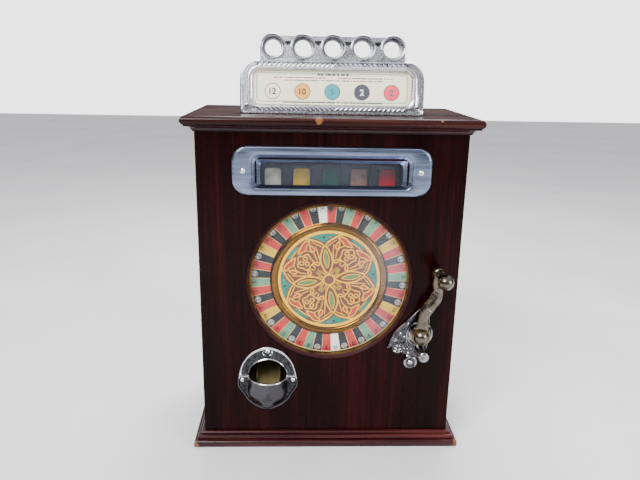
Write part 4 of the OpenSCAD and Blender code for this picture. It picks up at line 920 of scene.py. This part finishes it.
def handle_arm():
    """The handle: rounds with a slight ridge carried along an S-shaped path, a domed boss
    with two collars on the axle, and a round end."""
    path = smooth(np.array(ARM_PATH), 5) + AXLE
    half = smooth(np.array(ARM_HALF)[:, None], 5)[:, 0]
    across = side_of(path)
    t = np.linspace(0, 2 * np.pi, 28, endpoint=False)
    ridge = 1 + 0.09 * np.cos(2 * t) ** 2 * np.cos(t * 4)
    swell = 1 + 0.06 * np.sin(np.linspace(0, 9 * np.pi, len(path)))
    rounding = np.radians([25, 48, 68, 86])
    last = -len(rounding)
    close = np.ones(len(path))
    close[last:] = np.cos(rounding)
    path[last:] += np.outer(np.sin(rounding) * half[last] * 0.75, [0.03, 1.0])
    reach = (half * swell * close)[:, None] * ridge * np.cos(t)
    flat = path[:, None, :] + across[:, None, :] * reach[:, :, None]
    y = FACE - 15.5 - (half * 0.72 * close)[:, None] * ridge * np.sin(t)
    shapes = [(loft(front(flat, y)), 0)]
    dome = np.radians(np.linspace(12, 89, 12))
    dome_y = FACE - 22
    boss = [(0.05, FACE - 6.5), (13, FACE - 6.5), (13, FACE - 10), (12, FACE - 11), (12.8, FACE - 12),
            (12.8, FACE - 21), (11.9, dome_y)]
    boss += [(11.9 * math.cos(a), dome_y - 11 * math.sin(a)) for a in dome]
    shapes.append((revolve(boss, AXLE, 64), 0))
    for y in (FACE - 21.8, FACE - 17.6):
        collar = [(12.2, y + 1.3), (13.4, y + 1.0), (13.8, y), (13.4, y - 1.0), (12.2, y - 1.3)]
        shapes.append((revolve(collar, AXLE, 64), 1))
    for start, end in (((8.2, 41), (17.5, 34.5)), ((14.0, 66), (28.5, 63))):
        band = np.linspace(np.array(start), np.array(end), 7) + AXLE - (4, -6)
        shapes.append((ribbon(band, 1.1, 1.3, FACE - 21.6, pointed=True), 0))
    piece("handle_arm", "handle", shapes, [WORN_NICKEL, BRASSY], ["handle_lever"])


def handle_knob():
    """The ball on its stem: the stem's radius swells into a collar behind a full round."""
    middle = BALL_LOW[1] + BALL_R
    a = np.radians(np.linspace(62, -89, 30))
    ball = [(BALL_R * math.cos(k), middle + BALL_R * math.sin(k)) for k in a]
    stem = [(0.05, FACE - 18.5), (6.6, FACE - 18.5), (6.6, FACE - 26), (5.2, FACE - 27.5),
            (4.8, middle + 16), (5.6, middle + 12.2), (6.2, middle + 11.2), (5.4, middle + 10.4)]
    piece("handle_knob", "handle", [(revolve(stem + ball, BALL, 64), 0)], [WORN_NICKEL],
          ["handle_ball"], 50)


def handle_escutcheon():
    """The plate behind the handle: dark ground, a bright rim and a rim round the boss,
    scrolls and drops in its hollow, a round lobe below, and the stop post."""
    y = FACE
    outline = smooth(PLATE_OUTLINE, 5, True) + AXLE
    shapes = [(plate(outline, y, y - 3, 0.8), 1)]
    edges = [
        ([(2, 41), (-8, 30.5), (-22, 15), (-35.5, 1.5), (-41.5, -10), (-45.5, -20), (-48, -26)], 1.3, 2.0),
        ([(-6, 31), (-12, 16), (-17.5, 2), (-19, -10), (-16, -22), (-8, -31), (-1, -36)], 1.5, 2.6),
        ([(13.2, 33), (14.4, 20), (14.6, 0), (13.6, -20), (11.2, -35)], 1.2, 1.8),
        ([(-41, -26), (-38, -31.5), (-31.5, -35), (-26.5, -33), (-22.5, -37)], 1.2, 1.7),
        ([(-34, 0), (-37, -9), (-35, -18), (-28.5, -20), (-25.5, -15), (-29, -11.5), (-32, -14)], 1.1, 2.0),
        ([(-22, 6), (-27, -1), (-25.5, -8), (-21.5, -7), (-22.5, -3)], 1.0, 1.9),
        ([(-21, -16), (-24, -22), (-21, -28), (-16, -28), (-16.5, -24)], 1.0, 1.9),
        ([(-39, -20), (-36, -27), (-30, -30), (-25, -27)], 1.0, 1.7),
    ]
    for path, half, height in edges:
        shapes.append((ribbon(smooth(path) + AXLE, half, height, y - 2.9, pointed=True), 0))
    for x, z, angle, size in ((-29, -4, 30, 7), (-32.5, -24, 60, 6), (-27, -24.5, 100, 5),
                              (-20.5, -33.5, 120, 5.5), (-14, -35.5, 80, 6), (-18, 12, 25, 7),
                              (-12, 24, 20, 6), (-14, -41, 95, 7)):
        drop = leaf_shape(size, size * 0.46, angle, AXLE + (x, z))
        shapes.append((plate(drop, y - 2.8, y - 3.4, 0.3, 1.1), 0))
    for x, z in ((-43.2, -22), (-40, -16), (-38.2, -11.5), (-35.2, -6.5), (-34, -32.5), (-29.4, -33)):
        shapes.append((plate(arc(AXLE + (x, z), 1.3, 0, 324, 10), y - 2.8, y - 3.2, 0.25, 0.9), 0))
    lobe = AXLE + (-10.7, -51.6)
    lobe_rim = [(10.6, y - 2.4), (10.2, y - 4.2), (9.0, y - 4.9), (7.6, y - 4.2), (7.2, y - 2.4)]
    shapes.append((revolve(lobe_rim, lobe, 40), 0))
    post = AXLE + (3, -28)
    stop = [(0.05, y - 2), (8.6, y - 2), (8.4, y - 6), (8, y - 7), (8, y - 31), (8.5, y - 32),
            (8.5, y - 34.5), (7.6, y - 36), (6.2, y - 37), (3.5, y - 37.2), (0.05, y - 36.4)]
    shapes.append((revolve(stop, post, 40), 0))
    cap = [(0.05, FACE - 2.5), (20.5, FACE - 2.5), (20.3, FACE - 4.4), (19, FACE - 5.1), (17.4, FACE - 4.4),
           (16.8, FACE - 3.2), (0.05, FACE - 3.2)]
    shapes.append((revolve(cap, AXLE + (1, -3), 64), 0))
    piece("handle_escutcheon", "cabinet", shapes, [ESCUTCHEON, DARK_NICKEL], ["handle_plate"])


head_frame()
coin_rings()
printed_card()
cup_surround()
cup_bowl()
handle_arm()
handle_knob()
handle_escutcheon()


# ---- Stage ----
def floor():
    """A wide pale floor, with a faint unevenness."""
    pale = Finish("pale_floor", paint(206, 206, 208), 0.6)
    stops = [(0.3, paint(200, 200, 203)), (0.7, paint(212, 212, 213))]
    pale.colour(pale.ramp(pale.noise((3, 3, 3)), stops))
    reach = 6.0
    mesh = bpy.data.meshes.new("pale_floor")
    mesh.from_pydata([(-reach, -reach, 0), (reach, -reach, 0), (reach, reach, 0), (-reach, reach, 0)],
                     [], [(0, 1, 2, 3)])
    mesh.materials.append(pale.material)
    made = bpy.data.objects.new("pale_floor", mesh)
    bpy.context.collection.objects.link(made)


def soft_light(name, place, aim, size, watts, colour=(1, 1, 1)):
    """A square soft box at place, in metres, facing aim."""
    data = bpy.data.lights.new(name, "AREA")
    data.size, data.energy, data.color = size, watts, colour
    made = bpy.data.objects.new(name, data)
    made.location = place
    made.rotation_euler = (Vector(aim) - Vector(place)).to_track_quat("-Z", "Y").to_euler()
    bpy.context.collection.objects.link(made)


def room():
    """A pale room: bright above, darker near the horizon, as polished metal mirrors it. The
    camera itself sees an even pale backdrop."""
    world = bpy.data.worlds.new("room")
    bpy.context.scene.world = world
    world.use_nodes = True
    nodes, links = world.node_tree.nodes, world.node_tree.links
    back = nodes["Background"]
    where = nodes.new("ShaderNodeTexCoord")
    split = nodes.new("ShaderNodeSeparateXYZ")
    level = nodes.new("ShaderNodeMapRange")
    level.inputs["From Min"].default_value = -1.0
    ramp = nodes.new("ShaderNodeValToRGB")
    stops = [(0.0, 0.35), (0.44, 0.16), (0.54, 0.08), (0.64, 0.3), (0.82, 1.3)]
    while len(ramp.color_ramp.elements) < len(stops):
        ramp.color_ramp.elements.new(0.5)
    for element, (position, grey) in zip(ramp.color_ramp.elements, stops):
        element.position, element.color = position, (grey, grey, grey * 1.03, 1)
    pale = nodes.new("ShaderNodeBackground")
    pale.inputs["Color"].default_value = (1.0, 1.0, 1.02, 1)
    pale.inputs["Strength"].default_value = 3.2
    seen = nodes.new("ShaderNodeLightPath")
    mix = nodes.new("ShaderNodeMixShader")
    links.new(where.outputs["Generated"], split.inputs[0])
    links.new(split.outputs["Z"], level.inputs["Value"])
    links.new(level.outputs[0], ramp.inputs[0])
    links.new(ramp.outputs[0], back.inputs["Color"])
    links.new(seen.outputs["Is Camera Ray"], mix.inputs[0])
    links.new(back.outputs[0], mix.inputs[1])
    links.new(pale.outputs[0], mix.inputs[2])
    links.new(mix.outputs[0], nodes["World Output"].inputs["Surface"])


def camera():
    """A camera in front, a little above and to the left, tilted down."""
    place = (-0.048896, -0.969462, 0.593572)
    yaw, pitch, roll = -0.038, 0.281, 0.019
    ahead = np.array([-math.sin(yaw) * math.cos(pitch), math.cos(yaw) * math.cos(pitch), -math.sin(pitch)])
    right = np.array([math.cos(yaw), math.sin(yaw), 0.0])
    up = np.cross(right, ahead)
    right, up = (math.cos(roll) * right + math.sin(roll) * up,
                 math.cos(roll) * up - math.sin(roll) * right)
    data = bpy.data.cameras.new("camera")
    data.sensor_width, data.lens = 36.0, 34.513
    made = bpy.data.objects.new("camera", data)
    bpy.context.collection.objects.link(made)
    made.matrix_world = Matrix([[*row, at] for row, at in zip(np.stack([right, up, -ahead], axis=1), place)]
                               + [[0, 0, 0, 1]])
    bpy.context.scene.camera = made


floor()
room()
camera()
soft_light("key", (-0.9, -1.5, 1.9), (0, 0, 0.3), 1.2, 96)
soft_light("right_window", (1.9, -1.3, 0.9), (0, 0, 0.3), 0.9, 44, (0.9, 0.95, 1.0))
soft_light("overhead", (0.1, 0.9, 1.9), (0, 0, 0.4), 1.0, 60)
